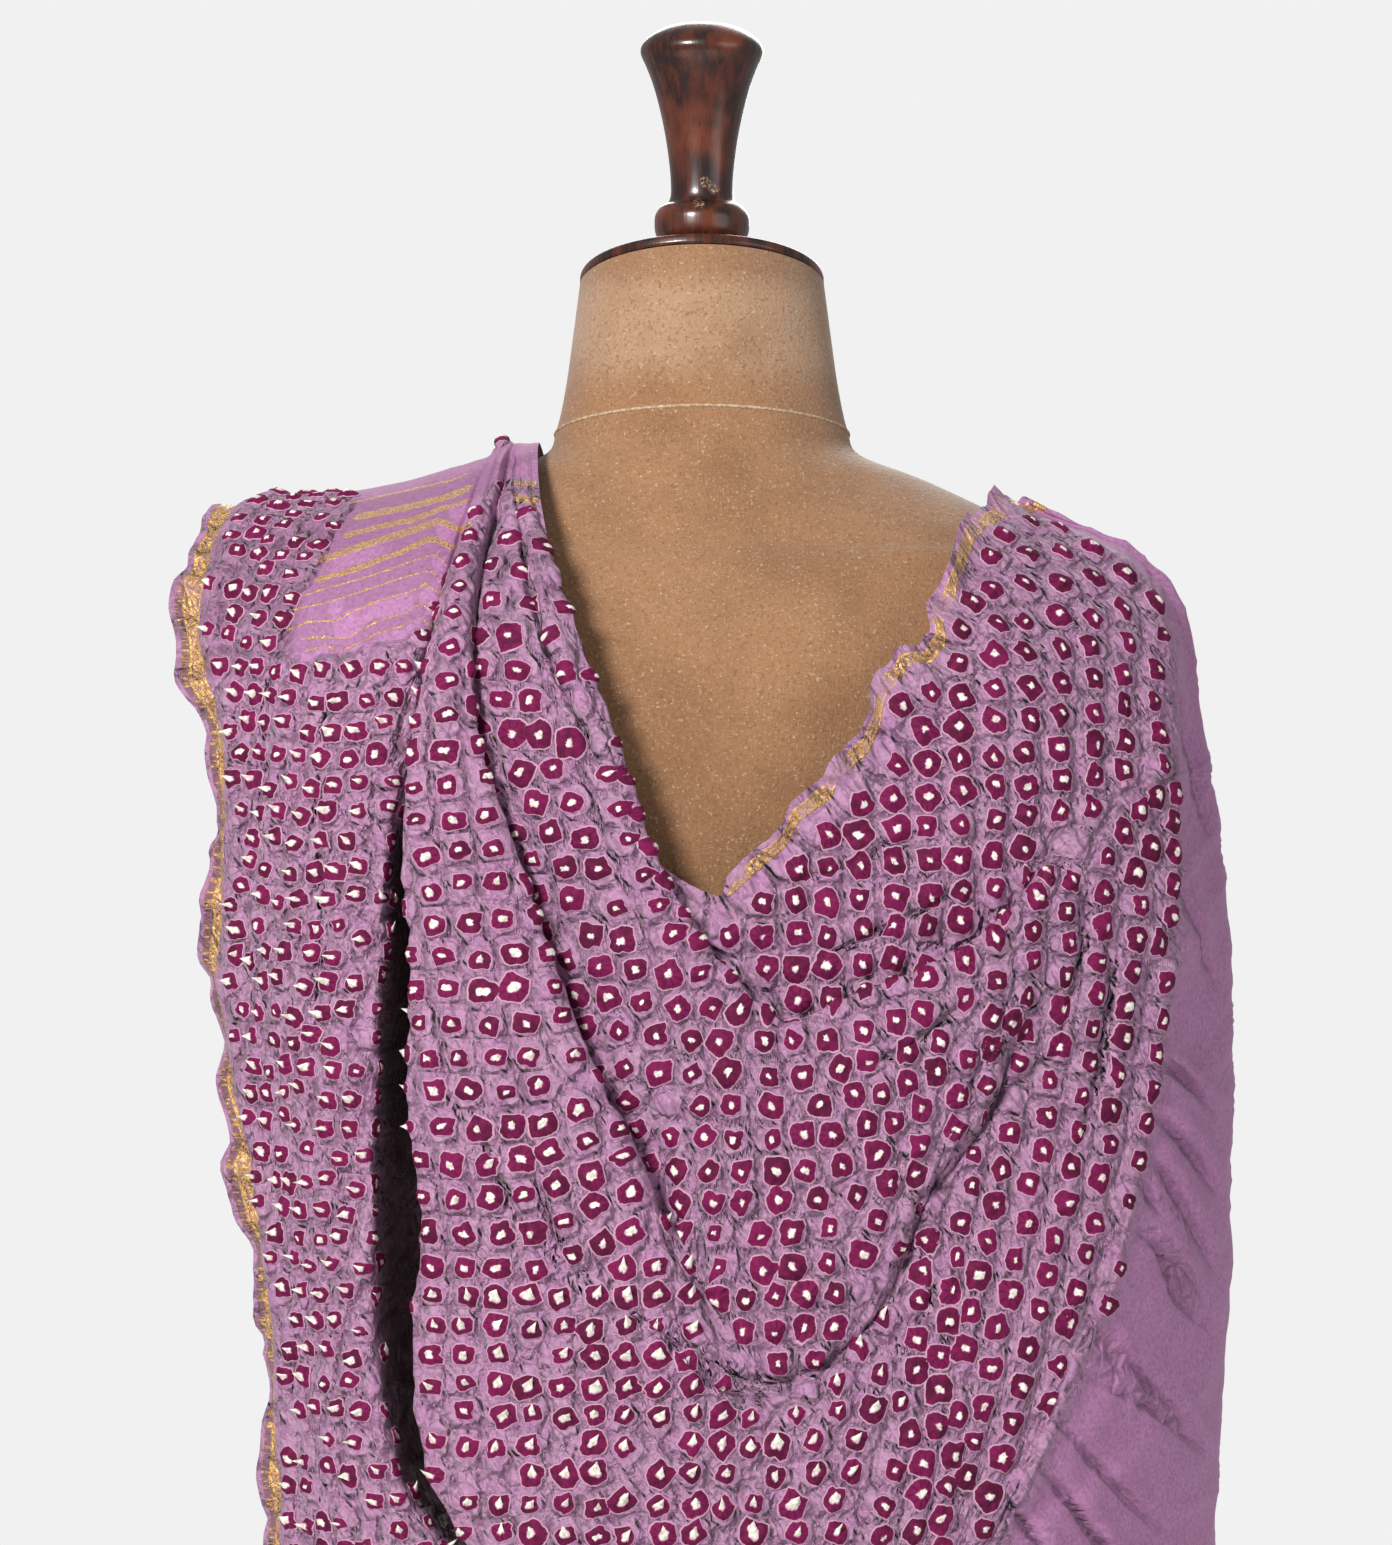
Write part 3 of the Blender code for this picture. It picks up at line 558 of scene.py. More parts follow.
# Lesser creases of the front, in the picture plane: width and depth in millimetres, then the
# places that each runs through. The cloth swells a little on the left of each.
CREASES = (
    (2.6, 4.2, ((514, 463), (519, 520), (525, 565), (537, 616), (558, 679), (579, 721), (600, 772))),
    (2.4, 2.6, ((660, 1182), (664, 1226), (695, 1283), (722, 1330))),
    (2.2, 2.8, ((614, 1309), (654, 1325), (692, 1368), (716, 1387), (748, 1400), (780, 1395))),
    (2.2, 2.4, ((780, 1395), (828, 1363), (855, 1339), (882, 1307), (905, 1250), (926, 1193))),
    (2.4, 2.8, ((926, 1193), (962, 1155), (993, 1104), (1008, 1066), (1035, 1010))),
    (2.0, 2.4, ((696, 1270), (683, 1332), (724, 1373), (790, 1378), (850, 1346))),
    (2.2, 2.2, ((848, 1069), (881, 1060), (930, 1030), (985, 985))),
    (2.0, 2.0, ((905, 1163), (918, 1229), (930, 1295), (900, 1350))),
    (2.4, 2.4, ((1060, 860), (1085, 900), (1075, 980), (1050, 1060))),
    (2.4, 2.2, ((1105, 905), (1110, 1000), (1092, 1100), (1060, 1190))),
    (2.0, 2.0, ((540, 1180), (560, 1240), (600, 1300))),
    (2.0, 1.8, ((470, 1100), (500, 1180), (560, 1290))),
    (2.2, 2.0, ((800, 880), (860, 860), (930, 830))),
    (2.2, 2.0, ((820, 960), (880, 930), (960, 890))),
    (2.0, 1.8, ((300, 600), (270, 680), (262, 780), (250, 880))),
    (1.8, 1.8, ((330, 700), (318, 820), (322, 940), (315, 1060))),
    (1.9, 3.4, ((1165, 1062), (1185, 1080), (1207, 1107))),
    (2.2, 4.4, ((1154, 1113), (1178, 1139), (1197, 1162), (1212, 1190))),
    (1.8, 3.0, ((1141, 1181), (1147, 1196), (1156, 1210))),
    (2.2, 4.2, ((1152, 1157), (1176, 1196), (1211, 1266))),
    (2.3, 4.6, ((1132, 1226), (1161, 1253), (1178, 1297), (1206, 1325))),
    (1.9, 3.4, ((1161, 1253), (1180, 1270), (1199, 1300))),
    (2.3, 4.6, ((1100, 1331), (1135, 1371), (1170, 1410), (1204, 1450))),
    (2.1, 3.8, ((1082, 1375), (1135, 1399), (1168, 1422), (1200, 1446))),
    (2.0, 3.6, ((1090, 1331), (1104, 1346), (1119, 1373))),
    (2.4, 4.6, ((1043, 1471), (1069, 1502), (1104, 1548), (1140, 1590))),
    (2.4, 4.4, ((1012, 1506), (1039, 1545), (1070, 1600))),
    (2.1, 3.6, ((1060, 1424), (1100, 1470), (1160, 1530))),
    (1.6, 1.8, ((1180, 700), (1192, 760), (1206, 830))),
    (1.5, 1.8, ((1176, 880), (1196, 930), (1214, 980))),
)


def inside(polygon, x, y):
    """Whether places of the picture plane lie inside the polygon."""
    found = np.zeros(np.shape(x), bool)
    for (ax, ay), (bx, by) in zip(polygon, polygon[1:] + polygon[:1]):
        crosses = (ay > y) != (by > y)
        edge_x = ax + (bx - ax) * (y - ay) / (by - ay if by != ay else 1e-9)
        found ^= crosses & (x < edge_x)
    return found


def row_band(cloth, start, end, blend):
    """1 on the rows between two weft lines, fading over some weft lines at each end."""
    line = np.interp(np.arange(cloth.rows), ROW_AT, np.arange(len(ROW_AT)))
    band = smoothstep(start - blend, start + blend, line)
    return (band * (1 - smoothstep(end - blend, end + blend, line)))[:, None]


def deepen_hollows(cloth):
    """Lets the cloth sink into the hollow beside each long fold, clear of the form."""
    numbers = np.arange(cloth.columns)
    inward = np.zeros_like(cloth.points)
    for first, last, start, end, depth in HOLLOWS:
        low, high = COLUMN_AT[first] + 2, COLUMN_AT[last] + 2
        across = clamp01((numbers - low) / (high - low))
        across = np.sin(math.pi * across) ** 1.3
        inward[..., 1] += depth * across[None, :] * row_band(cloth, start, end, 0.7)
    cloth.points = cloth.points + inward


def shape_borders(cloth):
    """Curls and ruffles both woven borders."""
    outer = (cloth.weft[:, -1:] - cloth.weft) * 1e3
    neck = cloth.weft * 1e3
    run = cloth.warp[:, -1:] * 1e3
    front = row_band(cloth, 5.0, 15.0, 0.8)
    wave = lattice_noise(run / 24.0, run * 0 + 3.5, 3) + 0.35 * lattice_noise(run / 8.0, run * 0 + 1.5, 4)
    second = lattice_noise(run / 19.0, run * 0 + 6.5, 6)
    second = second + 0.3 * lattice_noise(run / 7.0, run * 0 + 2.5, 7)
    near = np.exp(-((outer / 10.0) ** 1.6))
    swell = 3.4 * np.exp(-(((outer - 25.0) / 6.0) ** 2)) - 3.6 * np.exp(-(((outer - 9.0) / 4.0) ** 2))
    height = front * (swell + 8.0 * near * second) + (1 - front) * near * wave * 4.0
    cloth.raise_by(height * 1e-3)
    calm = 0.35 + 0.65 * smoothstep(-0.4, 0.5, lattice_noise(run / 70.0, run * 0 + 7.5, 12))
    cloth.points[..., 0] += front * near * (wave * calm * 5.0 + 1.0) * 1e-3
    cloth.points[..., 0] += front * np.exp(-(((outer - 11.0) / 5.0) ** 2)) * second * 4.0e-3

    run = cloth.warp[:, :1] * 1e3
    open_neck = row_band(cloth, 11.0, 23.5, 0.7)
    wave = lattice_noise(run / 13.0, run * 0 + 8.5, 5) + 0.4 * lattice_noise(run / 5.0, run * 0 + 4.5, 8)
    second = lattice_noise(run / 16.0, run * 0 + 9.5, 9)
    second = second + 0.3 * lattice_noise(run / 6.0, run * 0 + 5.5, 10)
    near = np.exp(-((neck / 8.5) ** 1.6))
    lift = 6.0 * near * (0.35 + wave) + 3.0 * np.exp(-(((neck - 14.0) / 5.0) ** 2)) * second
    cloth.raise_by(np.maximum(lift, -2.5) * open_neck * 1e-3)
    across = cloth.points[:, :1] - cloth.points[:, 8:9]
    across = across / np.maximum(np.linalg.norm(across, axis=-1, keepdims=True), 1e-9)
    push = open_neck * near * (second * 5.5 + wave * 2.5) * 1e-3
    cloth.points = cloth.points + across * push[..., None]


def press_creases(cloth):
    """Presses the lesser creases in, each with a swell on one side."""
    x, y = picture_place(cloth.points)
    line = np.interp(np.arange(cloth.rows), ROW_AT, np.arange(len(ROW_AT)))[:, None]
    front = (line > 5.2) & (line < 24.6) & (cloth.points[..., 1] < 0.0)
    height = np.zeros_like(x)
    # crease_off and crease_share also let the silk darken each crease line as painted shade.
    cloth.crease_off = np.full_like(x, 9.0)
    cloth.crease_share = np.zeros_like(x)
    for width, depth, places in CREASES:
        path = smooth_line(np.array(places, float), [10] * (len(places) - 1))
        lows, highs = path.min(axis=0) - 40, path.max(axis=0) + 40
        spots = np.nonzero(front & (x > lows[0]) & (x < highs[0]) & (y > lows[1]) & (y < highs[1]))
        away = np.stack([x[spots], y[spots]], axis=-1)[:, None] - path[None]
        nearest = np.argmin(np.sum(away**2, axis=-1), axis=1)
        way = np.gradient(path, axis=0)
        way = way / np.linalg.norm(way, axis=-1, keepdims=True)
        off = away[np.arange(len(nearest)), nearest]
        side = (off[:, 0] * way[nearest, 1] - off[:, 1] * way[nearest, 0]) * UNIT * 1e3
        past = np.abs(np.sum(off * way[nearest], axis=-1)) * UNIT * 1e3
        share = nearest / (len(path) - 1)
        fade = np.sin(math.pi * np.clip(share, 0.04, 0.96)) ** 0.5 * np.exp(-((past / 3.0) ** 2))
        swell = 0.75 * np.exp(-(((side - 2.4 * width) / (1.7 * width)) ** 2))
        groove = swell - np.exp(-((side / width) ** 2))
        height[spots] += depth * fade * groove
        closer = np.abs(side) < np.abs(cloth.crease_off[spots])
        cloth.crease_off[spots] = np.where(closer, side, cloth.crease_off[spots])
        share = np.where(np.abs(side) < CREASE_REACH, fade, 0.0)
        cloth.crease_share[spots] = np.where(closer, share, cloth.crease_share[spots])
    cloth.raise_by(np.clip(height, -5.5, 3.5) * 1e-3)


def tied_share(cloth):
    """How tied each point of the cloth is, from 0 to 1."""
    x, y = picture_place(cloth.points)
    line = np.interp(np.arange(cloth.rows), ROW_AT, np.arange(len(ROW_AT)))[:, None]
    striped = inside(STRIPE_PATCH, x, y) & (line > 4.5) & (line < 9.0)
    tied = smoothstep(5.0, 5.3, line) * (1 - smoothstep(21.8, 22.3, line)) * (1 - striped)
    return tied


def crinkle(cloth, tied):
    """Raises the small uneven creases that the tying leaves, and the longer ones beside it."""
    warp, weft = cloth.warp, cloth.weft
    turned_u, turned_v = warp * 0.8 + weft * 0.6, weft * 0.8 - warp * 0.6
    small = billows(turned_u / 0.0100, turned_v / 0.0072, 21)
    small = small + 0.7 * billows(turned_v / 0.0066, warp / 0.0078, 22)
    broad = lattice_noise(warp / 0.045, weft / 0.040, 23)
    line = np.interp(np.arange(cloth.rows), ROW_AT, np.arange(len(ROW_AT)))[:, None]
    beside = smoothstep(21.0, 22.5, line) * (1 - smoothstep(23.2, 25.2, line))
    slant = warp * 0.75 + weft * 0.66
    along = weft * 0.75 - warp * 0.66
    long = ridges(slant / 0.011, along / 0.060, 24) ** 2
    soft = ridges(slant / 0.034, along / 0.110, 25)
    plain = 1 - tied
    behind = smoothstep(24.3, 25.6, line) + (1 - smoothstep(3.6, 4.8, line))
    hang = lattice_noise(warp / 0.034, weft / 0.30, 28) * 2.6
    hang = hang + lattice_noise(warp / 0.075, weft / 0.42, 29) * 4.0
    narrow = lattice_noise(weft / 0.030, warp / 0.26, 30) * 3.0
    hang = np.where(line < 5, narrow, hang) * smoothstep(0.0, 0.06, weft)
    height = tied * (1.00 * small + 1.3 * broad) + beside * (1.3 * long + 2.2 * soft)
    height = height + plain * (1 - beside) * (0.45 * ridges(warp / 0.03, weft / 0.012, 26) + 1.2 * broad)
    height = height + behind * hang
    pool = np.arange(cloth.columns)
    near_crease = np.exp(-(((pool - COLUMN_AT[POOL_LIP]) / 18.0) ** 2))[None, :]
    crumple = near_crease * row_band(cloth, 12.5, 19.0, 1.0)
    height = height + crumple * 2.6 * (ridges(warp / 0.016, weft / 0.022, 27) - 0.5)
    laps = np.ones(cloth.columns)
    for first, last in ((NECK_UNDER, NECK_CREST), (CREASE_UNDER, CREASE_CREST), (GAP_CREST, GAP_UNDER)):
        laps[COLUMN_AT[first] : COLUMN_AT[last] + 1] = 0.35
    kernel = np.ones(9) / 9
    laps = np.convolve(np.pad(laps, 4, mode="edge"), kernel, mode="valid")
    border = smoothstep(0.004, 0.018, cloth.weft[:, -1:] - weft) * smoothstep(0.003, 0.014, weft)
    cloth.raise_by((height - 0.9) * 1e-3 * laps[None, :] * (0.3 + 0.7 * border))
    # The valleys of the small creases on tied cloth, which the silk paints darker as painted shade.
    return tied * np.exp(-((small / 0.22) ** 2))


def fold_places(cloth):
    """Rows, columns and field numbers of the rings that follow the long folds."""
    line_of = np.arange(len(ROW_AT))
    made = []
    for number, field in enumerate(FOLD_FIELDS, start=len(PLANE_FIELDS)):
        first, last = np.interp([field.start, field.end], line_of, ROW_AT)
        rows = np.arange(int(first), int(last) + 1)
        guide = COLUMN_AT[field.guide]
        arc = cloth.warp[rows, guide] - cloth.warp[rows[0], guide]
        stations = np.arange(field.warp * 0.5, arc[-1], field.warp)
        station_rows = np.interp(stations, arc, rows)
        columns = np.arange(COLUMN_AT[field.first], COLUMN_AT[field.last] + 1)
        for order, row in enumerate(station_rows):
            at = cloth.read(cloth.points, np.full(len(columns), row), columns.astype(float))
            steps = np.linalg.norm(np.diff(at, axis=0), axis=-1)
            length = np.concatenate([[0.0], np.cumsum(steps)])
            length -= np.interp(guide, columns, length)
            count = np.arange(math.ceil(length[0] / field.weft), int(length[-1] / field.weft) + 1)
            step = station_rows[min(order + 1, len(station_rows) - 1)] - row
            slant = PANEL_SLANT * order % 1.0 if number >= PANEL_FIELD else 0.0
            for k in count:
                column = np.interp((k + slant) * field.weft, length, columns)
                here = cloth.read(cloth.points, np.array(row), np.array(column))
                there = cloth.read(cloth.points, np.array(row + step), np.array(column))
                apart = np.linalg.norm(there - here) / field.warp if step else 1.0
                if apart < 0.70 and order % 2:
                    continue
                made.append((row, column, number))
                if apart > 1.42:
                    made.append((row + step / 2, column, number))
    return made


def slope_sum(places, at):
    """The height at a place of a line whose slope is given at some places."""
    known, slopes = np.array(places, float).T
    grid = np.linspace(300.0, 1800.0, 301)
    slope = np.interp(grid, known, slopes)
    total = np.concatenate([[0.0], np.cumsum((slope[1:] + slope[:-1]) / 2 * np.diff(grid))])
    return np.interp(at, grid, total)


def plane_places(cloth, rng):
    """Rows, columns and field numbers of the rings laid out in the picture plane."""
    x, y = picture_place(cloth.points)
    line = np.interp(np.arange(cloth.rows), ROW_AT, np.arange(len(ROW_AT)))[:, None]
    ahead = (line > 5.3) & (line < 22.2) & (cloth.points[..., 1] < 0.01)
    spots = np.argwhere(ahead)
    flat_x, flat_y = x[ahead], y[ahead]
    depth = cloth.points[..., 1][ahead]
    tree = KDTree(len(spots))
    for i in range(len(spots)):
        tree.insert((flat_x[i], flat_y[i], 0.0), i)
    tree.balance()
    made = []
    for number, field in enumerate(PLANE_FIELDS):
        starts, levels = np.arange(300, 1500, field.pitch_x), np.arange(200, 2200, field.pitch_y)
        s, t = np.meshgrid(starts, levels)
        at_x, at_y = s.astype(float), t.astype(float)
        for _ in range(12):
            right = smoothstep(720, 980, at_x)
            on_left = slope_sum(field.lean_left, at_y) * (1 - right)
            on_right = slope_sum(field.lean_right, at_y) * right
            at_x = 0.5 * at_x + 0.5 * (s + (on_left + on_right))
            at_y = 0.5 * at_y + 0.5 * (t + slope_sum(field.rise, at_x))
        at_x = at_x + rng.normal(0, 1.9, at_x.shape)
        at_y = at_y + rng.normal(0, 1.9, at_y.shape)
        for px, py in zip(at_x.reshape(-1), at_y.reshape(-1)):
            found = tree.find_range((px, py, 0.0), 7.0)
            if not found:
                continue
            index = np.array([i for _, i, _ in found])
            front = index[depth[index] < depth[index].min() + 0.008]
            weight = 1 / (0.5 + np.hypot(flat_x[front] - px, flat_y[front] - py)) ** 2
            row, column = (spots[front] * weight[:, None]).sum(axis=0) / weight.sum()
            if plane_field_at(row, column) == number:
                made.append((row, column, number))
    return made


def plane_field_at(row, column):
    """Which picture-plane field a place of the cloth belongs to, or none."""
    line = np.interp(row, ROW_AT, np.arange(len(ROW_AT)))
    if column < COLUMN_AT[NECK_UNDER]:
        return CHEST
    if column < COLUMN_AT[NECK_CREST] - 1:
        return None
    if column < COLUMN_AT[CREASE_UNDER] + 2:
        return COWL
    if line < LOW_START or column > COLUMN_AT[GAP_CREST]:
        return None
    return LOW_FRONT if line < 17.5 else COWL


def field_at(row, column):
    """The field of a ring that fills a hole between the others."""
    line = np.interp(row, ROW_AT, np.arange(len(ROW_AT)))
    if column > COLUMN_AT[GAP_CREST] + 1:
        return PANEL_FIELD if line < 15.0 else PANEL_FIELD + 1
    if column > COLUMN_AT[CREASE_UNDER] and line < LOW_START:
        return PLEAT
    found = plane_field_at(row, column)
    return COWL if found is None else found


def dot_places(cloth):
    """Row, column, radius, tip height and field number of each tied ring."""
    rng = np.random.default_rng(11)
    made = np.array(plane_places(cloth, rng) + fold_places(cloth))
    every = PLANE_FIELDS + FOLD_FIELDS
    radii = np.array([field.radius for field in every])
    by_row = np.linalg.norm(cloth.read(cloth.by_row, made[:, 0], made[:, 1]), axis=-1)
    by_column = np.linalg.norm(cloth.read(cloth.by_column, made[:, 0], made[:, 1]), axis=-1)
    loose = np.array([0.0, 0.0, 0.0, 0.0009, 0.0014, 0.0014])[made[:, 2].astype(int)]
    made[:, 0] += rng.normal(0, 1, len(made)) * loose / np.maximum(by_row, 4e-4)
    made[:, 1] += rng.normal(0, 1, len(made)) * loose / np.maximum(by_column, 4e-4)
    made = made[keep_dots(cloth, made[:, 0], made[:, 1])]
    made = made[thin_out(cloth, made, radii)]
    made = np.concatenate([made, fill_holes(cloth, made, radii)])

    row, column, numbers = made[:, 0], made[:, 1], made[:, 2].astype(int)
    count = len(made)
    radius = radii[numbers] * rng.uniform(0.78, 1.12, count)
    raised = rng.uniform(0, 1, count) < np.array([every[f].tip for f in numbers])
    reach = np.array([every[f].reach for f in numbers]) * rng.uniform(0.70, 1.10, count) * raised
    line = np.interp(row, ROW_AT, np.arange(len(ROW_AT)))
    reach = reach * (0.10 + 0.90 * smoothstep(5.8, 7.2, line))
    return row, column, radius, reach, numbers


def keep_dots(cloth, row, column):
    """Leaves out rings on a border, a striped patch, the plain end or deep in a hollow."""
    point = cloth.read(cloth.points, row, column)
    x, y = picture_place(point)
    line = np.interp(row, ROW_AT, np.arange(len(ROW_AT)))
    outer = cloth.read(cloth.weft[:, -1:] - cloth.weft, row, column)
    neck = cloth.read(cloth.weft, row, column)
    wavy = 21.85 + 0.2 * np.sin(y / 40.0)
    keep = (outer > OUTER_BORDER + 0.004) & (neck > NECK_BORDER + 0.003) & (line < wavy)
    keep &= cloth.read(hollow_shade_share(cloth), row, column) < 0.42
    striped = inside(STRIPE_PATCH, x, y) & (line > 4.5) & (line < 9.0)
    keep &= (outer > OUTER_BORDER + 0.008) | (line < 7)
    return keep & ~striped & ~((x > 505) & (y < 492) & (line < 9)) & (line > 5.05)


def tree_of(places):
    tree = KDTree(len(places))
    for i, place in enumerate(places):
        tree.insert(place, i)
    tree.balance()
    return tree


def thin_out(cloth, made, radii):
    """Drops a ring that would lie over another one of the same layer."""
    place = cloth.layer_places(made[:, 0], made[:, 1])
    normal = cloth.read(cloth.normals, made[:, 0], made[:, 1])
    gap = radii[made[:, 2].astype(int)] * LEAST_GAP
    tree = tree_of(place)
    keep = np.ones(len(made), bool)
    for i in range(len(place)):
        if not keep[i]:
            continue
        for _, j, _ in tree.find_range(Vector(place[i]), gap[i]):
            if j > i and keep[j] and np.dot(normal[i], normal[j]) > 0.2:
                keep[j] = False
    return keep


def fill_holes(cloth, made, radii):
    """Rings for tied cloth that is left bare, the barest place first."""
    every_second = (np.arange(ROW_AT[5], ROW_AT[22], 2), np.arange(0, cloth.columns, 2))
    rows, columns = np.meshgrid(*every_second, indexing="ij")
    rows, columns = rows.reshape(-1).astype(float), columns.reshape(-1).astype(float)
    line = np.interp(rows, ROW_AT, np.arange(len(ROW_AT)))
    free = keep_dots(cloth, rows, columns)
    for first, last, start, end, _ in HIDDEN:
        across = (columns > COLUMN_AT[first] + 1) & (columns < COLUMN_AT[last] - 1)
        free &= ~(across & (line > start) & (line < end))
    rows, columns = rows[free], columns[free]
    place = cloth.layer_places(rows, columns)
    numbers = np.array([field_at(row, column) for row, column in zip(rows, columns)])
    gap = radii[numbers] * HOLE_GAP
    tree = tree_of(cloth.layer_places(made[:, 0], made[:, 1]))
    bare = np.array([tree.find(point)[2] for point in place.tolist()])
    added = []
    for i in np.argsort(-bare, kind="stable"):
        if bare[i] < gap[i]:
            continue
        near_added = [j for j in added if np.linalg.norm(place[i] - place[j]) < gap[i]]
        if not near_added:
            added.append(i)
    print("rings that fill holes", len(added))
    return np.stack([rows[added], columns[added], numbers[added]], axis=-1)


def puff(cloth, dots):
    """Low domes in the cloth under the rings. It returns how far each point lies inside one.

    The value is how much farther the second nearest ring is, in millimetres: 0 midway.
    """
    row, column = dots[:2]
    tree = tree_of(cloth.layer_places(row, column))
    rows, columns = np.indices((cloth.rows, cloth.columns)).astype(float)
    flat = cloth.layer_places(rows, columns).reshape(-1, 3)
    distance = np.empty((len(flat), 2))
    for i, point in enumerate(flat.tolist()):
        found = tree.find_n(point, 2)
        distance[i] = found[0][2], found[1][2]
    first, second = distance.T.reshape(2, cloth.rows, cloth.columns)
    cloth.raise_by(1.9e-3 * np.exp(-((first / 0.0060) ** 2)))
    return np.clip((second - first) * 1e3, 0.0, 12.0)


def dot_field_mesh(cloth, dots, chosen, name, seed):
    """One joined mesh of tied rings: a squarish pleated outline round a white middle."""
    rng = np.random.default_rng(seed)
    row, column, radius, reach, fields = (values[chosen] for values in dots)
    count = len(row)
    turn = 2 * math.pi * np.arange(DOT_SPINE) / DOT_SPINE
    power = rng.uniform(2.8, 6.0, (count, 1))
    spin = rng.normal(0, 0.20, (count, 1))
    angle = turn[None, :]
    square = (np.abs(np.cos(angle)) ** power + np.abs(np.sin(angle)) ** power) ** (-1 / power)
    lobes = 0.06 * np.cos(3 * angle + rng.uniform(0, 6.28, (count, 1)))
    lobes = lobes + 0.045 * np.cos(5 * angle + rng.uniform(0, 6.28, (count, 1)))
    jagged = rng.normal(0, 0.045, (count, DOT_SPINE))
    outline = radius[:, None] * square * (0.94 + lobes + jagged)
    squash = rng.uniform(0.74, 1.04, (count, 1))
    size = np.array([(PLANE_FIELDS + FOLD_FIELDS)[f].white for f in fields])[:, None]
    white = size * rng.uniform(0.70, 1.15, (count, 1))
    white = white * (1 + 0.22 * np.cos(2 * angle + rng.uniform(0, 6.28, (count, 1))))
    white = white + rng.normal(0, 0.08, (count, DOT_SPINE))
    shift = rng.normal(0, 0.09, (count, 2)) * radius[:, None]
    local, lift, tone = [shift[:, None, :]], [np.full((count, 1), 0.9e-3)], [np.zeros((count, 1))]
    pleat = np.where(np.arange(DOT_SPINE) % 2, 1.0, -1.0)[None, :] * rng.uniform(0.4, 1.0, (count, 1))
    heights = (0.85, 0.70, 0.55, 0.40, 0.22, 0.08, -0.12)
    pleats = (0.0, 0.06, 0.14, 0.16, 0.12, 0.05, 0.0)
    for number, (share, colour) in enumerate(zip(DOT_RINGS, DOT_COLOURS)):
        span = outline * (share * white if number < 2 else share)
        if number == 2:
            span = outline * (0.5 * share + 0.5 * DOT_RINGS[1] * white + 0.03)
        x = span * np.cos(angle + spin) + shift[:, :1] * (1 - share)
        y = span * np.sin(angle + spin) * squash + shift[:, 1:] * (1 - share)
        local.append(np.stack([x, y], axis=-1))
        lift.append((heights[number] + pleats[number] * pleat * 2.4) * 1e-3 + 0 * x)
        tone.append(np.full((count, DOT_SPINE), colour))
    local = np.concatenate(local, axis=1)
    lift = np.concatenate(lift, axis=1) + DOT_LIFT
    tone = np.concatenate(tone, axis=1)
    # The valleys of the rings' pleats, which the dye paints darker as painted shade.
    pleat_shade = np.concatenate([np.zeros((count, 1))] + [(1 - pleat) / 2 * p / 0.16 for p in pleats], axis=1)

    points, normal = lay_down(cloth, row, column, local, lift)
    span = np.linalg.norm(points - points[:, :1], axis=-1).max(axis=-1)
    shrink = np.clip(1.34 * radius / span, 0.66, 1.0)
    points, normal = lay_down(cloth, row, column, local * shrink[:, None, None], lift)
    span = np.linalg.norm(points - points[:, :1], axis=-1).max(axis=-1)
    sound = span < radius * MOST_STRETCH
    left = clamp01((-0.09 - points[:, 0, 0]) / 0.05)
    lean = np.stack([0.30 - 1.25 * left, 0 * left - 0.10, 1.00 - 0.62 * left], axis=-1)
    lean = lean + rng.normal(0, 0.24, lean.shape)
    way = normal * 0.40 + lean
    way = way / np.linalg.norm(way, axis=-1, keepdims=True)
    points[:, 0] += way * reach[:, None]
    first = slice(1, 1 + DOT_SPINE)
    points[:, first] += way[:, None, :] * (reach * 0.50)[:, None, None]

    faces = []
    for k in range(DOT_SPINE):
        faces.append((0, 1 + k, 1 + (k + 1) % DOT_SPINE))
    for ring in range(len(DOT_RINGS) - 1):
        low, high = 1 + ring * DOT_SPINE, 1 + (ring + 1) * DOT_SPINE
        for k in range(DOT_SPINE):
            j = (k + 1) % DOT_SPINE
            faces.append((low + k, high + k, low + j))
            faces.append((low + j, high + k, high + j))
    faces = np.array(faces)
    points, tone, pleat_shade, count = points[sound], tone[sound], pleat_shade[sound], int(sound.sum())
    per_dot = points.shape[1]
    every = (faces[None] + (np.arange(count) * per_dot)[:, None, None]).reshape(-1, 3)
    mesh = mesh_of(name, points.reshape(-1, 3), every)
    add_floats(mesh, "ring", tone.reshape(-1))
    add_floats(mesh, "pleat_shade", pleat_shade.reshape(-1))
    add_floats(mesh, "dye", np.repeat(rng.uniform(0, 1, count), per_dot))
    return mesh


def lay_down(cloth, row, column, local, lift):
    """Puts flat places round each ring's own place onto the cloth. It returns the normals too."""
    down, across, normal = (cloth.read(field, row, column) for field in cloth.smooth)
    size = np.linalg.norm(across, axis=-1)
    weft_way = across / size[:, None]
    warp_way = np.cross(normal, weft_way)
    along = np.sum(down * warp_way, axis=-1)
    along = np.where(np.abs(along) < 3e-4, 3e-4 * np.sign(along + 1e-12), along)
    step_row = local[..., 1] / along[:, None]
    slip = np.sum(down * weft_way, axis=-1)
    step_column = (local[..., 0] - step_row * slip[:, None]) / np.maximum(size, 3e-4)[:, None]
    at_row, at_column = row[:, None] + step_row, column[:, None] + step_column
    points = cloth.read(cloth.points, at_row, at_column)
    normals = cloth.read(cloth.normals, at_row, at_column)
    return points + normals * lift[..., None], normal


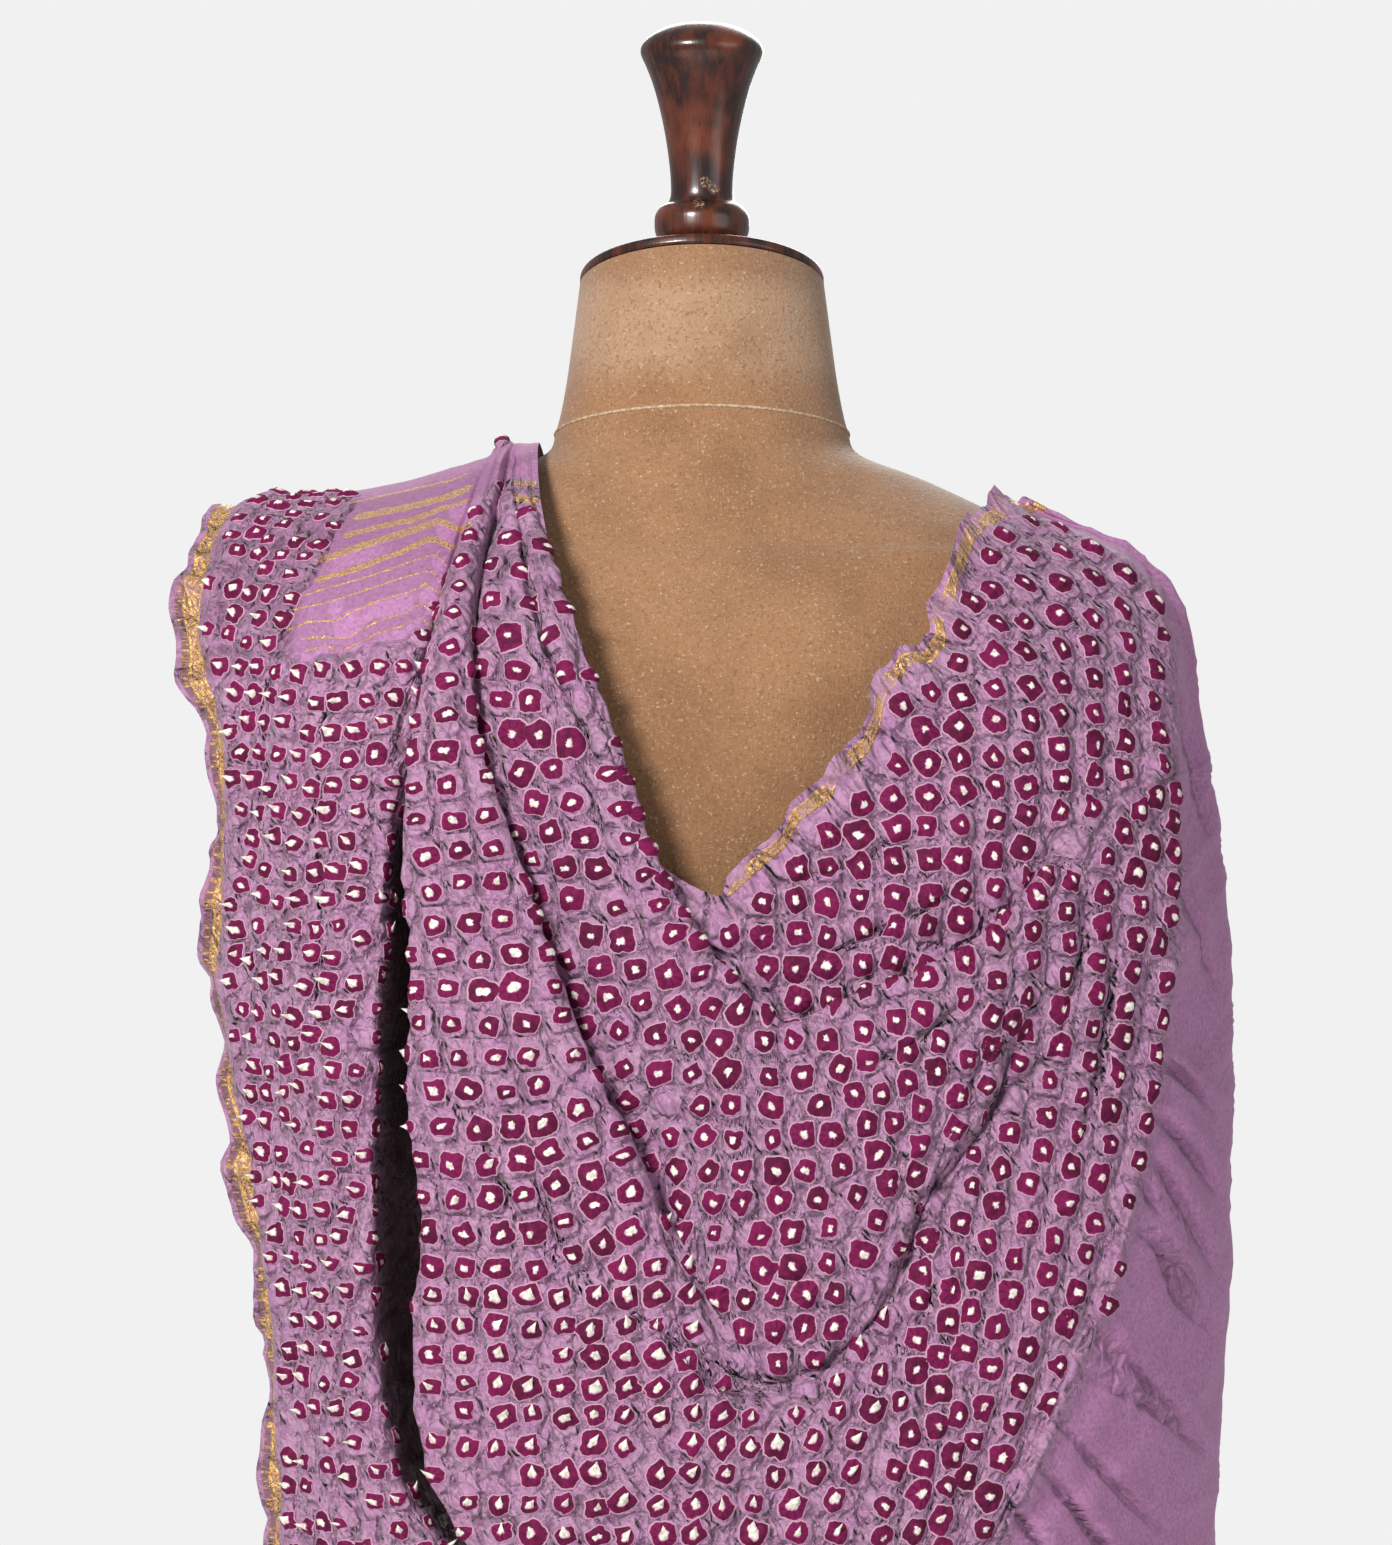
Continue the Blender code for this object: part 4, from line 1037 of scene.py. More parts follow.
def mesh_of(name, points, faces):
    mesh = bpy.data.meshes.new(name)
    mesh.vertices.add(len(points))
    mesh.vertices.foreach_set("co", np.ascontiguousarray(points, np.float32).reshape(-1))
    sides = faces.shape[1]
    mesh.loops.add(faces.size)
    mesh.loops.foreach_set("vertex_index", np.ascontiguousarray(faces, np.int32).reshape(-1))
    mesh.polygons.add(len(faces))
    mesh.polygons.foreach_set("loop_start", np.arange(0, faces.size, sides, dtype=np.int32))
    mesh.update(calc_edges=True)
    mesh.validate()
    mesh.shade_smooth()
    return mesh


def add_floats(mesh, name, values):
    attribute = mesh.attributes.new(name, "FLOAT", "POINT")
    attribute.data.foreach_set("value", np.ascontiguousarray(values, np.float32).reshape(-1))


def add_piece(name, mesh, finish):
    piece = bpy.data.objects.new(name, mesh)
    mesh.materials.append(finish)
    bpy.context.scene.collection.objects.link(piece)
    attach(piece, "root")
    return piece


def grid_faces(rows, columns):
    a = (np.arange(rows - 1)[:, None] * columns + np.arange(columns - 1)[None, :]).reshape(-1)
    return np.stack([a, a + 1, a + columns + 1, a + columns], axis=-1)


def hollow_shade_share(cloth):
    """1 deep in the long hollows and under the folds, where little light falls. The silk paints this dark
    as painted shade.
    """
    numbers = np.arange(cloth.columns)
    dark = np.zeros((cloth.rows, cloth.columns))
    for first, last, start, end, depth in HOLLOWS:
        low, high = COLUMN_AT[first] + 1, COLUMN_AT[last] + 1
        across = np.sin(math.pi * clamp01((numbers - low) / (high - low))) ** 0.6
        share = across[None, :] * row_band(cloth, start, end, 0.6) * min(1.0, depth / 0.02)
        dark = np.maximum(dark, share)
    return dark


def make_shawl(cloth, between, tied, low, finish):
    mesh = mesh_of("shawl_sheet", cloth.points.reshape(-1, 3), grid_faces(cloth.rows, cloth.columns))
    add_floats(mesh, "between", between)
    add_floats(mesh, "tied", tied)
    # low: the crinkle valleys, which the silk paints darker as painted shade.
    add_floats(mesh, "low", low)
    # hollow: where the silk paints the long hollow dark, as painted shade.
    add_floats(mesh, "hollow", hollow_shade_share(cloth))
    add_floats(mesh, "outer", (cloth.weft[:, -1:] - cloth.weft) * 1e3)
    plain_neck = row_band(cloth, -9.0, 10.9, 0.2)
    add_floats(mesh, "neck", cloth.weft * 1e3 + plain_neck * 60.0)
    ones = np.ones((1, cloth.columns))
    add_floats(mesh, "outer_run", cloth.warp[:, -1:] * ones * 1e3)
    add_floats(mesh, "neck_run", cloth.warp[:, :1] * ones * 1e3)
    line_place, line_apart, line_width = gold_line_fields(cloth)
    add_floats(mesh, "line_place", line_place)
    add_floats(mesh, "line_apart", line_apart)
    add_floats(mesh, "line_width", line_width)
    add_floats(mesh, "crease_off", cloth.crease_off)
    add_floats(mesh, "crease_share", cloth.crease_share)
    uv = mesh.uv_layers.new(name="cloth")
    corner = np.empty(len(mesh.loops), np.int32)
    mesh.loops.foreach_get("vertex_index", corner)
    places = np.stack([cloth.weft.reshape(-1), cloth.warp.reshape(-1)], axis=-1)[corner]
    uv.data.foreach_set("uv", np.ascontiguousarray(places, np.float32).reshape(-1))
    shawl = add_piece("shawl_sheet", mesh, finish)
    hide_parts("bandhani_shawl")
    return shawl


def gold_line_fields(cloth):
    """Where each point lies between the woven gold lines, and the nearest line's width.

    The place is the number of lines above it and the share of the way to the next, which runs
    evenly across a line. With it goes how far apart the two lines are, in millimetres.
    """
    x, y = picture_place(cloth.points)
    line = np.interp(np.arange(cloth.rows), ROW_AT, np.arange(len(ROW_AT)))[:, None]
    on_shoulder = (line > 4.9) & (line < 9.2) & ((x < GATHER[0]) | (x > GATHER[1]))
    levels, widths = [], []
    for full, places in GOLD_LINES:
        known_x, known_y = np.array(places, float).T
        past = np.clip(x - known_x[-1], 0, None) + np.clip(x - known_x[0], None, 0)
        levels.append(np.interp(x, known_x, known_y) + LINE_SLOPE * past)
        widths.append(full * (np.abs(past) < 3) * on_shoulder)
    levels = [levels[0] - 20.0] + levels + [levels[-1] + 20.0]
    widths = [0 * x] + widths + [0 * x]
    place, apart, width = np.zeros(x.shape), np.full(x.shape, 9.0), np.zeros(x.shape)
    for above, below, width_above, width_below in zip(levels, levels[1:], widths, widths[1:]):
        step = np.maximum(below - above, 3.0)
        share = clamp01((y - above) / step)
        within = (share > 0) & (share < 1)
        place += share
        apart = np.where(within, step * UNIT * 1e3, apart)
        width = np.where(within, np.where(share < 0.5, width_above, width_below), width)
    return place, apart, width


def form_sections():
    """The form's sections, smoothed: height, half width, half depth, middle, tilt, power."""
    return smooth_line(np.array(FORM, float), [STEPS_PER_SECTION] * (len(FORM) - 1))


def form_point(section, turn):
    height, half_width, half_depth, middle, tilt, power = section
    cosine, sine = np.cos(turn), np.sin(turn)
    x = half_width * np.copysign(np.abs(cosine) ** (2 / power), cosine)
    y = half_depth * np.copysign(np.abs(sine) ** (2 / power), sine)
    return np.stack([x, middle + y, height - y * math.tan(math.radians(tilt))], axis=-1)


def ring_mesh(name, rings):
    """A closed skin through rings of equal point counts, with flat ends."""
    rings = np.array(rings)
    levels, sides = rings.shape[:2]
    a = np.arange(levels - 1)[:, None] * sides + np.arange(sides)[None, :]
    b = np.arange(levels - 1)[:, None] * sides + (np.arange(sides) + 1)[None, :] % sides
    faces = np.stack([a, b, b + sides, a + sides], axis=-1).reshape(-1, 4)
    points = rings.reshape(-1, 3)
    mesh = bpy.data.meshes.new(name)
    last = (levels - 1) * sides
    caps = [tuple(range(sides))[::-1], tuple(range(last, last + sides))]
    mesh.from_pydata(points.tolist(), [], faces.tolist() + caps)
    mesh.shade_smooth()
    mesh.set_sharp_from_angle(angle=math.radians(50))
    return mesh


def make_form(finish):
    turns = 2 * math.pi * np.arange(FORM_SIDES) / FORM_SIDES
    rings = [form_point(section, turns) for section in form_sections()]
    form = add_piece("form_cover", ring_mesh("form_cover", rings), finish)
    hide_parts("form_body")
    return form


SEAM_HEIGHT = 0.6486
SEAM_MIDDLE = 0.007
SEAM_SLOPE = -0.198
SEAM_RADIUS = 0.0007
SEAM_SIDES = 8


def make_neck_seam(finish):
    """The pale sewn line round the foot of the neck."""
    sections = form_sections()
    heights = sections[:, 0]
    count = 160
    path = []
    for turn in 2 * math.pi * np.arange(count) / count:
        level = SEAM_HEIGHT
        for _ in range(8):
            section = [np.interp(level, heights, sections[:, k]) for k in range(6)]
            point = form_point(section, np.array(turn))
            wanted = SEAM_HEIGHT + SEAM_SLOPE * (point[1] - SEAM_MIDDLE)
            level += wanted - point[2]
        path.append(point)
    path = np.array(path)
    way = np.roll(path, -1, axis=0) - np.roll(path, 1, axis=0)
    way /= np.linalg.norm(way, axis=-1, keepdims=True)
    out = np.cross(way, [0.0, 0.0, 1.0])
    out /= np.linalg.norm(out, axis=-1, keepdims=True)
    up = np.cross(out, way)
    spin = 2 * math.pi * np.arange(SEAM_SIDES) / SEAM_SIDES
    loops = [path + SEAM_RADIUS * (out * math.cos(t) + up * math.sin(t)) for t in spin]
    points = np.stack(loops, axis=1).reshape(-1, 3)
    faces = []
    for i in range(count):
        j = (i + 1) % count
        for k in range(SEAM_SIDES):
            m = (k + 1) % SEAM_SIDES
            faces.append((i * SEAM_SIDES + k, j * SEAM_SIDES + k, j * SEAM_SIDES + m, i * SEAM_SIDES + m))
    return add_piece("neck_seam", mesh_of("neck_seam", points, np.array(faces)), finish)


def make_cap(finish):
    """A flat disc with a rounded edge, tilted to sit on the neck."""
    radii = []
    steps = 8
    for i in range(steps + 1):
        angle = -math.pi / 2 + math.pi / 2 * i / steps
        inset = CAP_ROUND * (1 - math.cos(angle))
        radii.append((CAP_RADIUS - inset, CAP_ROUND * (1 + math.sin(angle))))
    for radius, height in reversed(radii[:]):
        radii.append((radius, CAP_THICKNESS - height))
    turns = 2 * math.pi * np.arange(WOOD_SIDES) / WOOD_SIDES
    gap_y = math.sin(NECK_TILT) * JOINT_GAP
    gap_z = math.cos(NECK_TILT) * JOINT_GAP
    rings = []
    for radius, height in radii:
        x, y = radius * np.cos(turns), radius * np.sin(turns)
        level_y = y * math.cos(NECK_TILT) + height * math.sin(NECK_TILT)
        level_z = -y * math.sin(NECK_TILT) + height * math.cos(NECK_TILT)
        ring = [x, level_y + NECK_TOP[0] + gap_y, level_z + NECK_TOP[1] + gap_z]
        rings.append(np.stack(ring, axis=-1))
    cap = add_piece("cap_disc", ring_mesh("cap_disc", rings), finish)
    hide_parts("neck_cap")
    return cap


def make_finial(finish):
    """Turned upright, with its foot cut to the cap's tilt."""
    lift = CAP_THICKNESS + 2 * JOINT_GAP
    foot_y = NECK_TOP[0] + math.sin(NECK_TILT) * lift
    foot_z = NECK_TOP[1] + math.cos(NECK_TILT) * lift
    scale = (TOTAL_HEIGHT - foot_z) / (FINIAL[-1][1] + 0.0004)
    profile = smooth_line(np.array(FINIAL), [5] * (len(FINIAL) - 1)).tolist()
    profile += [[0.0050, 0.11065], [0.0020, 0.1107]]
    turns = 2 * math.pi * np.arange(WOOD_SIDES) / WOOD_SIDES
    rings = []
    for number, (radius, height) in enumerate(profile):
        tilt = math.tan(NECK_TILT) if number == 0 else 0.0
        x, y = radius * np.cos(turns), radius * np.sin(turns)
        rings.append(np.stack([x, foot_y + y, foot_z + height * scale - y * tilt], axis=-1))
    finial = add_piece("turned_finial", ring_mesh("turned_finial", rings), finish)
    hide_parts("finial")
    return finial


class Finish:
    """A material and short calls that build its nodes."""

    def __init__(self, name, roughness=0.8, **values):
        self.material = bpy.data.materials.new(name)
        self.material.use_nodes = True
        self.tree = self.material.node_tree
        self.shader = self.tree.nodes["Principled BSDF"]
        self.shader.inputs["Roughness"].default_value = roughness
        for key, value in values.items():
            self.shader.inputs[key.replace("_", " ")].default_value = value

    def node(self, kind, **settings):
        made = self.tree.nodes.new("ShaderNode" + kind)
        for key, value in settings.items():
            setattr(made, key, value)
        return made

    def feed(self, socket, value):
        if isinstance(value, bpy.types.NodeSocket):
            self.tree.links.new(value, socket)
        else:
            socket.default_value = value

    def sum(self, operation, *values):
        made = self.node("Math", operation=operation)
        for socket, value in zip(made.inputs, values):
            self.feed(socket, value)
        return made.outputs[0]

    def share(self, value, low, high, out_low=0.0, out_high=1.0):
        """The value's place from low to high, stretched to out_low and out_high."""
        made = self.node("MapRange", interpolation_type="SMOOTHSTEP")
        for socket, given in zip(made.inputs, (value, low, high, out_low, out_high)):
            self.feed(socket, given)
        return made.outputs[0]

    def floats(self, name):
        return self.node("Attribute", attribute_name=name).outputs["Fac"]

    def space(self, scale=(1.0, 1.0, 1.0), uv=False, turn=0.0):
        """Places in metres, or in metres of cloth, turned about Y, times the scale."""
        made = self.node("Mapping", vector_type="TEXTURE" if turn else "POINT")
        made.inputs["Scale"].default_value = [1 / s for s in scale] if turn else scale
        made.inputs["Rotation"].default_value = (0.0, turn, 0.0)
        source = self.node("TexCoord").outputs["UV" if uv else "Object"]
        self.tree.links.new(source, made.inputs["Vector"])
        return made.outputs[0]

    def noise(self, vector, scale, detail=3.0, roughness=0.55):
        made = self.node("TexNoise")
        self.tree.links.new(vector, made.inputs["Vector"])
        made.inputs["Scale"].default_value = scale
        made.inputs["Detail"].default_value = detail
        made.inputs["Roughness"].default_value = roughness
        return made.outputs["Fac"]

    def cells(self, vector, scale, feature="DISTANCE_TO_EDGE"):
        made = self.node("TexVoronoi", feature=feature)
        self.tree.links.new(vector, made.inputs["Vector"])
        made.inputs["Scale"].default_value = scale
        return made.outputs["Distance"]

    def mix(self, share, first, second):
        made = self.node("Mix", data_type="RGBA")
        for number, value in ((0, share), (6, first), (7, second)):
            self.feed(made.inputs[number], value)
        return made.outputs[2]

    def relief(self, height, distance, strength=1.0, under=None):
        made = self.node("Bump")
        made.inputs["Strength"].default_value = strength
        made.inputs["Distance"].default_value = distance
        self.feed(made.inputs["Height"], height)
        if under:
            self.feed(made.inputs["Normal"], under)
        return made.outputs[0]

    def colour(self, value):
        self.feed(self.shader.inputs["Base Color"], value)

    def normal(self, value):
        self.feed(self.shader.inputs["Normal"], value)

    def rough(self, value):
        self.feed(self.shader.inputs["Roughness"], value)


LILAC = (0.420, 0.186, 0.372, 1.0)
LILAC_PLAIN = (0.410, 0.172, 0.352, 1.0)
MAUVE = (0.415, 0.222, 0.360, 1.0)
CREPE_LIGHT = (0.560, 0.300, 0.510, 1.0)
DEEP_MAUVE_AND_SHADE = (0.130, 0.052, 0.100, 1.0)
MAGENTA = (0.185, 0.0040, 0.070, 1.0)
DEEP_MAGENTA_AND_SHADE = (0.075, 0.0015, 0.026, 1.0)
PINK_EDGE = (0.540, 0.310, 0.400, 1.0)
HOLLOW_PAINTED_SHADE = (0.045, 0.012, 0.022, 1.0)
BORDER_CURL_SHADE = (0.150, 0.065, 0.060, 1.0)
WHITE_TIP = (0.860, 0.830, 0.740, 1.0)
WHITE_SHADE = (0.560, 0.500, 0.430, 1.0)
GOLD = (0.830, 0.520, 0.180, 1.0)
GOLD_DEEP = (0.420, 0.210, 0.075, 1.0)
LINEN = (0.335, 0.166, 0.074, 1.0)
LINEN_DARK = (0.225, 0.102, 0.042, 1.0)
LINEN_WORN = (0.410, 0.248, 0.146, 1.0)
LINEN_DEEP = (0.190, 0.080, 0.034, 1.0)
LINEN_FLECK = (0.600, 0.480, 0.340, 1.0)
WOOD = (0.085, 0.0165, 0.0080, 1.0)
WOOD_DARK = (0.014, 0.0035, 0.0025, 1.0)
WOOD_WARM = (0.205, 0.046, 0.016, 1.0)
WOOD_CHIP = (0.480, 0.300, 0.190, 1.0)


BORDER_TURN = 470.0
CREASE_TURN = math.radians(-38.0)


def silk_finish():
    """Crinkled lilac silk: crepe grain, crackled creases and both woven gold borders. Its creases,
    crinkle valleys, striped patch, outer border's curl and long hollow carry painted shade, and its gold
    carries painted glints.
    """
    silk = Finish("crinkled_silk", 0.72, Sheen_Weight=0.12, Sheen_Roughness=0.4)
    space = silk.space()
    cloth = silk.space(uv=True)
    tied = silk.floats("tied")
    cloudy = silk.noise(space, 38.0, 3.0)
    fine = silk.noise(space, 560.0, 2.0, 0.7)
    base = silk.mix(silk.share(cloudy, 0.35, 0.68), LILAC, LILAC_PLAIN)
    greyed = silk.sum("MULTIPLY", tied, silk.share(silk.noise(space, 75.0), 0.36, 0.60, 0.35, 1.0))
    base = silk.mix(greyed, base, MAUVE)
    wander = silk.sum("MULTIPLY", silk.sum("SUBTRACT", silk.noise(space, 300.0, 2.0), 0.5), 4.2)
    between = silk.sum("ADD", silk.floats("between"), wander)
    slanted = silk.space((190.0, 160.0, 70.0), turn=CREASE_TURN)
    crackle = silk.cells(slanted, 1.0)
    # Painted shade: tied cloth is darkened along the crackle of small creases and midway between the
    # rings.
    crackle_shade = silk.share(crackle, 0.0, 0.07, 1.0, 0.0)
    crackle_shade = silk.sum("MULTIPLY", crackle_shade, silk.share(silk.noise(space, 60.0), 0.44, 0.56, 0.0, 0.8))
    ring_gap_shade = silk.share(between, 0.2, 1.5, 1.0, 0.0)
    crackle_shade = silk.sum("MULTIPLY", silk.sum("MAXIMUM", crackle_shade, ring_gap_shade), silk.sum("MULTIPLY", tied, 0.80))
    base = silk.mix(crackle_shade, base, DEEP_MAUVE_AND_SHADE)
    sway = silk.sum("MULTIPLY", silk.sum("SUBTRACT", silk.noise(space, 120.0, 3.0), 0.5), 1.4)
    crease_off = silk.sum("ABSOLUTE", silk.sum("ADD", silk.floats("crease_off"), sway))
    crease_share = silk.floats("crease_share")
    # Painted shade along each lesser crease.
    crease_line_shade = silk.sum("MULTIPLY", silk.share(crease_off, 0.1, 0.9, 1.0, 0.0), crease_share)
    base = silk.mix(silk.sum("MULTIPLY", crease_line_shade, 0.75), base, DEEP_MAUVE_AND_SHADE)
    base = silk.mix(silk.share(fine, 0.46, 0.72, 0.0, 0.42), base, DEEP_MAUVE_AND_SHADE)
    base = silk.mix(silk.share(fine, 0.30, 0.46, 0.35, 0.0), base, CREPE_LIGHT)
    # Painted shade: the plain striped patch on the shoulder's top, which faces up into the light, is
    # darkened.
    striped = silk.share(silk.floats("line_apart"), 8.0, 8.9, 0.32, 0.0)
    base = silk.mix(striped, base, DEEP_MAUVE_AND_SHADE)
    # Painted shade in the valleys of the small creases.
    low = silk.sum("MULTIPLY", silk.share(silk.floats("low"), 0.35, 0.95), 0.28)
    base = silk.mix(low, base, DEEP_MAUVE_AND_SHADE)
    run = silk.sum("ADD", silk.floats("outer_run"), silk.sum("MULTIPLY", cloudy, 60.0))
    below = silk.share(run, BORDER_TURN, BORDER_TURN + 30.0)
    gold = silk.sum("MULTIPLY", below, border_gold(silk, "outer", "outer_run", 6.5, 14.5, space))
    upper = border_gold(silk, "outer", "outer_run", 3.5, 13.5, space)
    gold = silk.sum("MAXIMUM", gold, silk.sum("MULTIPLY", upper, silk.sum("SUBTRACT", 1.0, below)))
    threads = silk.share(silk.noise(silk.space((90.0, 90.0, 700.0)), 1.0, 2.0), 0.52, 0.60)
    away = silk.floats("outer")
    # Painted shade in the dip of the outer border's curl, with sparse gold threads in it.
    curl_shade = silk.sum("MULTIPLY", silk.share(away, 2.6, 3.4), silk.share(away, 6.0, 7.0, 1.0, 0.0))
    curl_shade = silk.sum("MULTIPLY", curl_shade, below)
    base = silk.mix(silk.sum("MULTIPLY", curl_shade, 0.7), base, BORDER_CURL_SHADE)
    gold = silk.sum("MAXIMUM", gold, silk.sum("MULTIPLY", curl_shade, silk.sum("MULTIPLY", threads, 0.8)))
    patchy = silk.share(silk.noise(space, 55.0, 1.0), 0.38, 0.50, 0.15, 1.0)
    neck_gold = silk.sum("MULTIPLY", border_gold(silk, "neck", "neck_run", 3.2, 9.5, space), patchy)
    gold = silk.sum("MAXIMUM", gold, neck_gold)
    half = silk.sum("MULTIPLY", silk.floats("line_width"), 0.5)
    rough_edge = silk.sum("MULTIPLY", silk.sum("SUBTRACT", silk.noise(space, 420.0, 2.0), 0.5), 1.2)
    place = silk.floats("line_place")
    off = silk.sum("ABSOLUTE", silk.sum("SUBTRACT", place, silk.sum("ROUND", place)))
    off = silk.sum("ADD", silk.sum("MULTIPLY", off, silk.floats("line_apart")), rough_edge)
    woven = silk.share(silk.sum("SUBTRACT", off, half), -0.25, 0.15, 1.0, 0.0)
    woven = silk.sum("MULTIPLY", woven, silk.share(half, 0.1, 0.3))
    grains = silk.share(silk.noise(space, 640.0, 2.0, 0.8), 0.46, 0.60, 1.0, 0.35)
    woven = silk.sum("MULTIPLY", woven, grains)
    gold = silk.sum("MAXIMUM", gold, woven)
    # The gold runs at random from deep to bright: partly the threads' own tone, partly painted glints.
    glint = silk.noise(space, 900.0, 2.0, 0.8)
    thread = silk.mix(silk.share(glint, 0.34, 0.62), GOLD_DEEP, GOLD)
    dressed = silk.mix(gold, base, thread)
    # Painted shade: the long hollow beside the fold is darkened almost to black.
    silk.colour(silk.mix(silk.share(silk.floats("hollow"), 0.05, 0.70, 0.0, 0.97), dressed, HOLLOW_PAINTED_SHADE))
    silk.feed(silk.shader.inputs["Metallic"], silk.sum("MULTIPLY", gold, 0.55))
    silk.rough(silk.share(gold, 0.0, 1.0, 0.74, 0.42))
    weave = silk.node("TexWave", wave_type="BANDS", bands_direction="X")
    silk.tree.links.new(cloth, weave.inputs["Vector"])
    weave.inputs["Scale"].default_value = 260.0
    grain = silk.relief(fine, 0.0004, 0.35)
    crepe = silk.relief(weave.outputs["Fac"], 0.0001, 0.25, grain)
    folds = silk.sum("MULTIPLY", silk.share(crackle, 0.0, 0.30), tied)
    folded = silk.relief(folds, 0.0013, 0.9, crepe)
    puffed = silk.sum("MULTIPLY", silk.share(between, 0.0, 4.6), tied)
    folded = silk.relief(puffed, 0.0030, 1.0, folded)
    sunk = silk.sum("MULTIPLY", silk.share(crease_off, 0.0, 3.2, 1.0, 0.0), crease_share)
    folded = silk.relief(silk.sum("SUBTRACT", 1.0, sunk), 0.0030, 1.0, folded)
    silk.normal(silk.relief(silk.sum("MULTIPLY", gold, glint), 0.0007, 0.8, folded))
    return silk.material


def border_gold(silk, distance, run, first, last, space):
    """Where a woven border shows gold: two lines, and round medallions between them."""
    away, along = silk.floats(distance), silk.floats(run)
    ragged = silk.sum("MULTIPLY", silk.sum("SUBTRACT", silk.noise(space, 160.0), 0.5), 1.6)
    away = silk.sum("ADD", away, ragged)
    past_first = silk.share(away, first - 0.3, first + 0.3)
    band = silk.sum("MULTIPLY", past_first, silk.share(away, last - 0.3, last + 0.3, 1.0, 0.0))
    middle, pitch = (first + last) / 2, (last - first) * 0.62
    cell = silk.sum("SUBTRACT", silk.sum("FRACT", silk.sum("DIVIDE", along, pitch)), 0.5)
    cell = silk.sum("MULTIPLY", cell, pitch)
    off = silk.sum("SUBTRACT", away, middle)
    square = silk.sum("ADD", silk.sum("MULTIPLY", cell, cell), silk.sum("MULTIPLY", off, off))
    round_off = silk.sum("SQRT", square)
    radius = pitch * 0.40
    medallion = silk.share(round_off, radius - 0.35, radius + 0.35, 1.0, 0.0)
    off_halo = silk.sum("ABSOLUTE", silk.sum("SUBTRACT", round_off, radius + 1.1))
    halo = silk.share(off_halo, 0.3, 0.6, 1.0, 0.0)
    first_line = silk.share(away, first + 1.2, first + 1.7, 1.0, 0.0)
    edge_lines = silk.sum("MAXIMUM", first_line, silk.share(away, last - 1.7, last - 1.2))
    figure = silk.sum("MAXIMUM", silk.sum("MAXIMUM", medallion, halo), edge_lines)
    ground = silk.share(silk.noise(space, 700.0, 2.0), 0.44, 0.56, 0.0, 0.7)
    return silk.sum("MULTIPLY", band, silk.sum("MAXIMUM", figure, ground))


def ring_finish():
    """The resist-dyed rings: magenta, a pale outline, and a cream white middle."""
    dye = Finish("tied_rings", 0.78, Specular_IOR_Level=0.25)
    space = dye.space()
    tone, shade = dye.floats("ring"), dye.floats("dye")
    ragged = dye.sum("MULTIPLY", dye.sum("SUBTRACT", dye.noise(space, 520.0, 2.0), 0.5), 0.16)
    tone = dye.sum("ADD", tone, ragged)
    uneven = dye.sum("ADD", dye.noise(space, 300.0), dye.sum("MULTIPLY", shade, 0.25))
    deep = dye.share(uneven, 0.45, 0.85)
    # The magenta deepens with the dye's own uneven tone and, in the pleats' valleys, with painted shade.
    deep = dye.sum("MAXIMUM", deep, dye.share(dye.floats("pleat_shade"), 0.40, 0.95, 0.0, 0.95))
    magenta = dye.mix(deep, MAGENTA, DEEP_MAGENTA_AND_SHADE)
    white = dye.mix(dye.share(dye.noise(space, 480.0), 0.42, 0.66), WHITE_TIP, WHITE_SHADE)
    bled = dye.mix(dye.share(tone, 0.33, 0.39), white, PINK_EDGE)
    base = dye.mix(dye.share(tone, 0.38, 0.45), bled, magenta)
    base = dye.mix(dye.share(tone, 0.955, 1.0), base, PINK_EDGE)
    base = dye.mix(dye.share(tone, 1.03, 1.08), base, MAUVE)
    dye.colour(base)
    grain = dye.relief(dye.noise(space, 900.0, 2.0), 0.0003, 0.4)
    dye.normal(dye.relief(dye.cells(space, 330.0), 0.0005, 0.35, grain))
    return dye.material


def cover_finish():
    """Velvety linen, worn paler round the upper neck, with flecks of lint."""
    linen = Finish("linen_cover", 0.88, Sheen_Weight=0.35, Sheen_Roughness=0.5)
    space = linen.space()
    cloudy = linen.noise(space, 26.0, 4.0)
    patchy = linen.noise(space, 9.0, 2.0)
    clouds = linen.sum("ADD", cloudy, linen.sum("MULTIPLY", patchy, 0.6))
    base = linen.mix(linen.share(clouds, 0.60, 1.02, 0.25, 1.0), LINEN_DARK, LINEN)
    height = linen.node("SeparateXYZ")
    linen.tree.links.new(space, height.inputs[0])
    level = linen.sum("ADD", height.outputs["Z"], linen.sum("MULTIPLY", cloudy, 0.016))
    under_cap = linen.share(level, 0.715, 0.727, 1.0, 0.25)
    worn = linen.sum("MULTIPLY", linen.share(level, 0.672, 0.692), under_cap)
    worn = linen.sum("MULTIPLY", worn, linen.share(cloudy, 0.30, 0.60, 0.35, 1.0))
    base = linen.mix(worn, base, LINEN_WORN)
    specks = linen.share(linen.noise(space, 700.0, 2.0, 0.8), 0.59, 0.72)
    base = linen.mix(linen.sum("MULTIPLY", specks, 0.75), base, LINEN_FLECK)
    dark = linen.share(linen.noise(space, 620.0, 3.0, 0.8), 0.50, 0.66)
    base = linen.mix(linen.sum("MULTIPLY", dark, 0.75), base, LINEN_DEEP)
    threads = linen.noise(linen.space((1600.0, 1600.0, 260.0)), 1.0, 2.0)
    cross = linen.noise(linen.space((260.0, 260.0, 1600.0)), 1.0, 2.0)
    weave = linen.sum("ADD", threads, cross)
    base = linen.mix(linen.share(weave, 0.95, 1.25, 0.0, 0.30), base, LINEN_WORN)
    linen.colour(base)
    nap = linen.relief(linen.noise(space, 700.0, 3.0), 0.0009, 0.6)
    linen.normal(linen.relief(weave, 0.0004, 0.5, nap))
    return linen.material


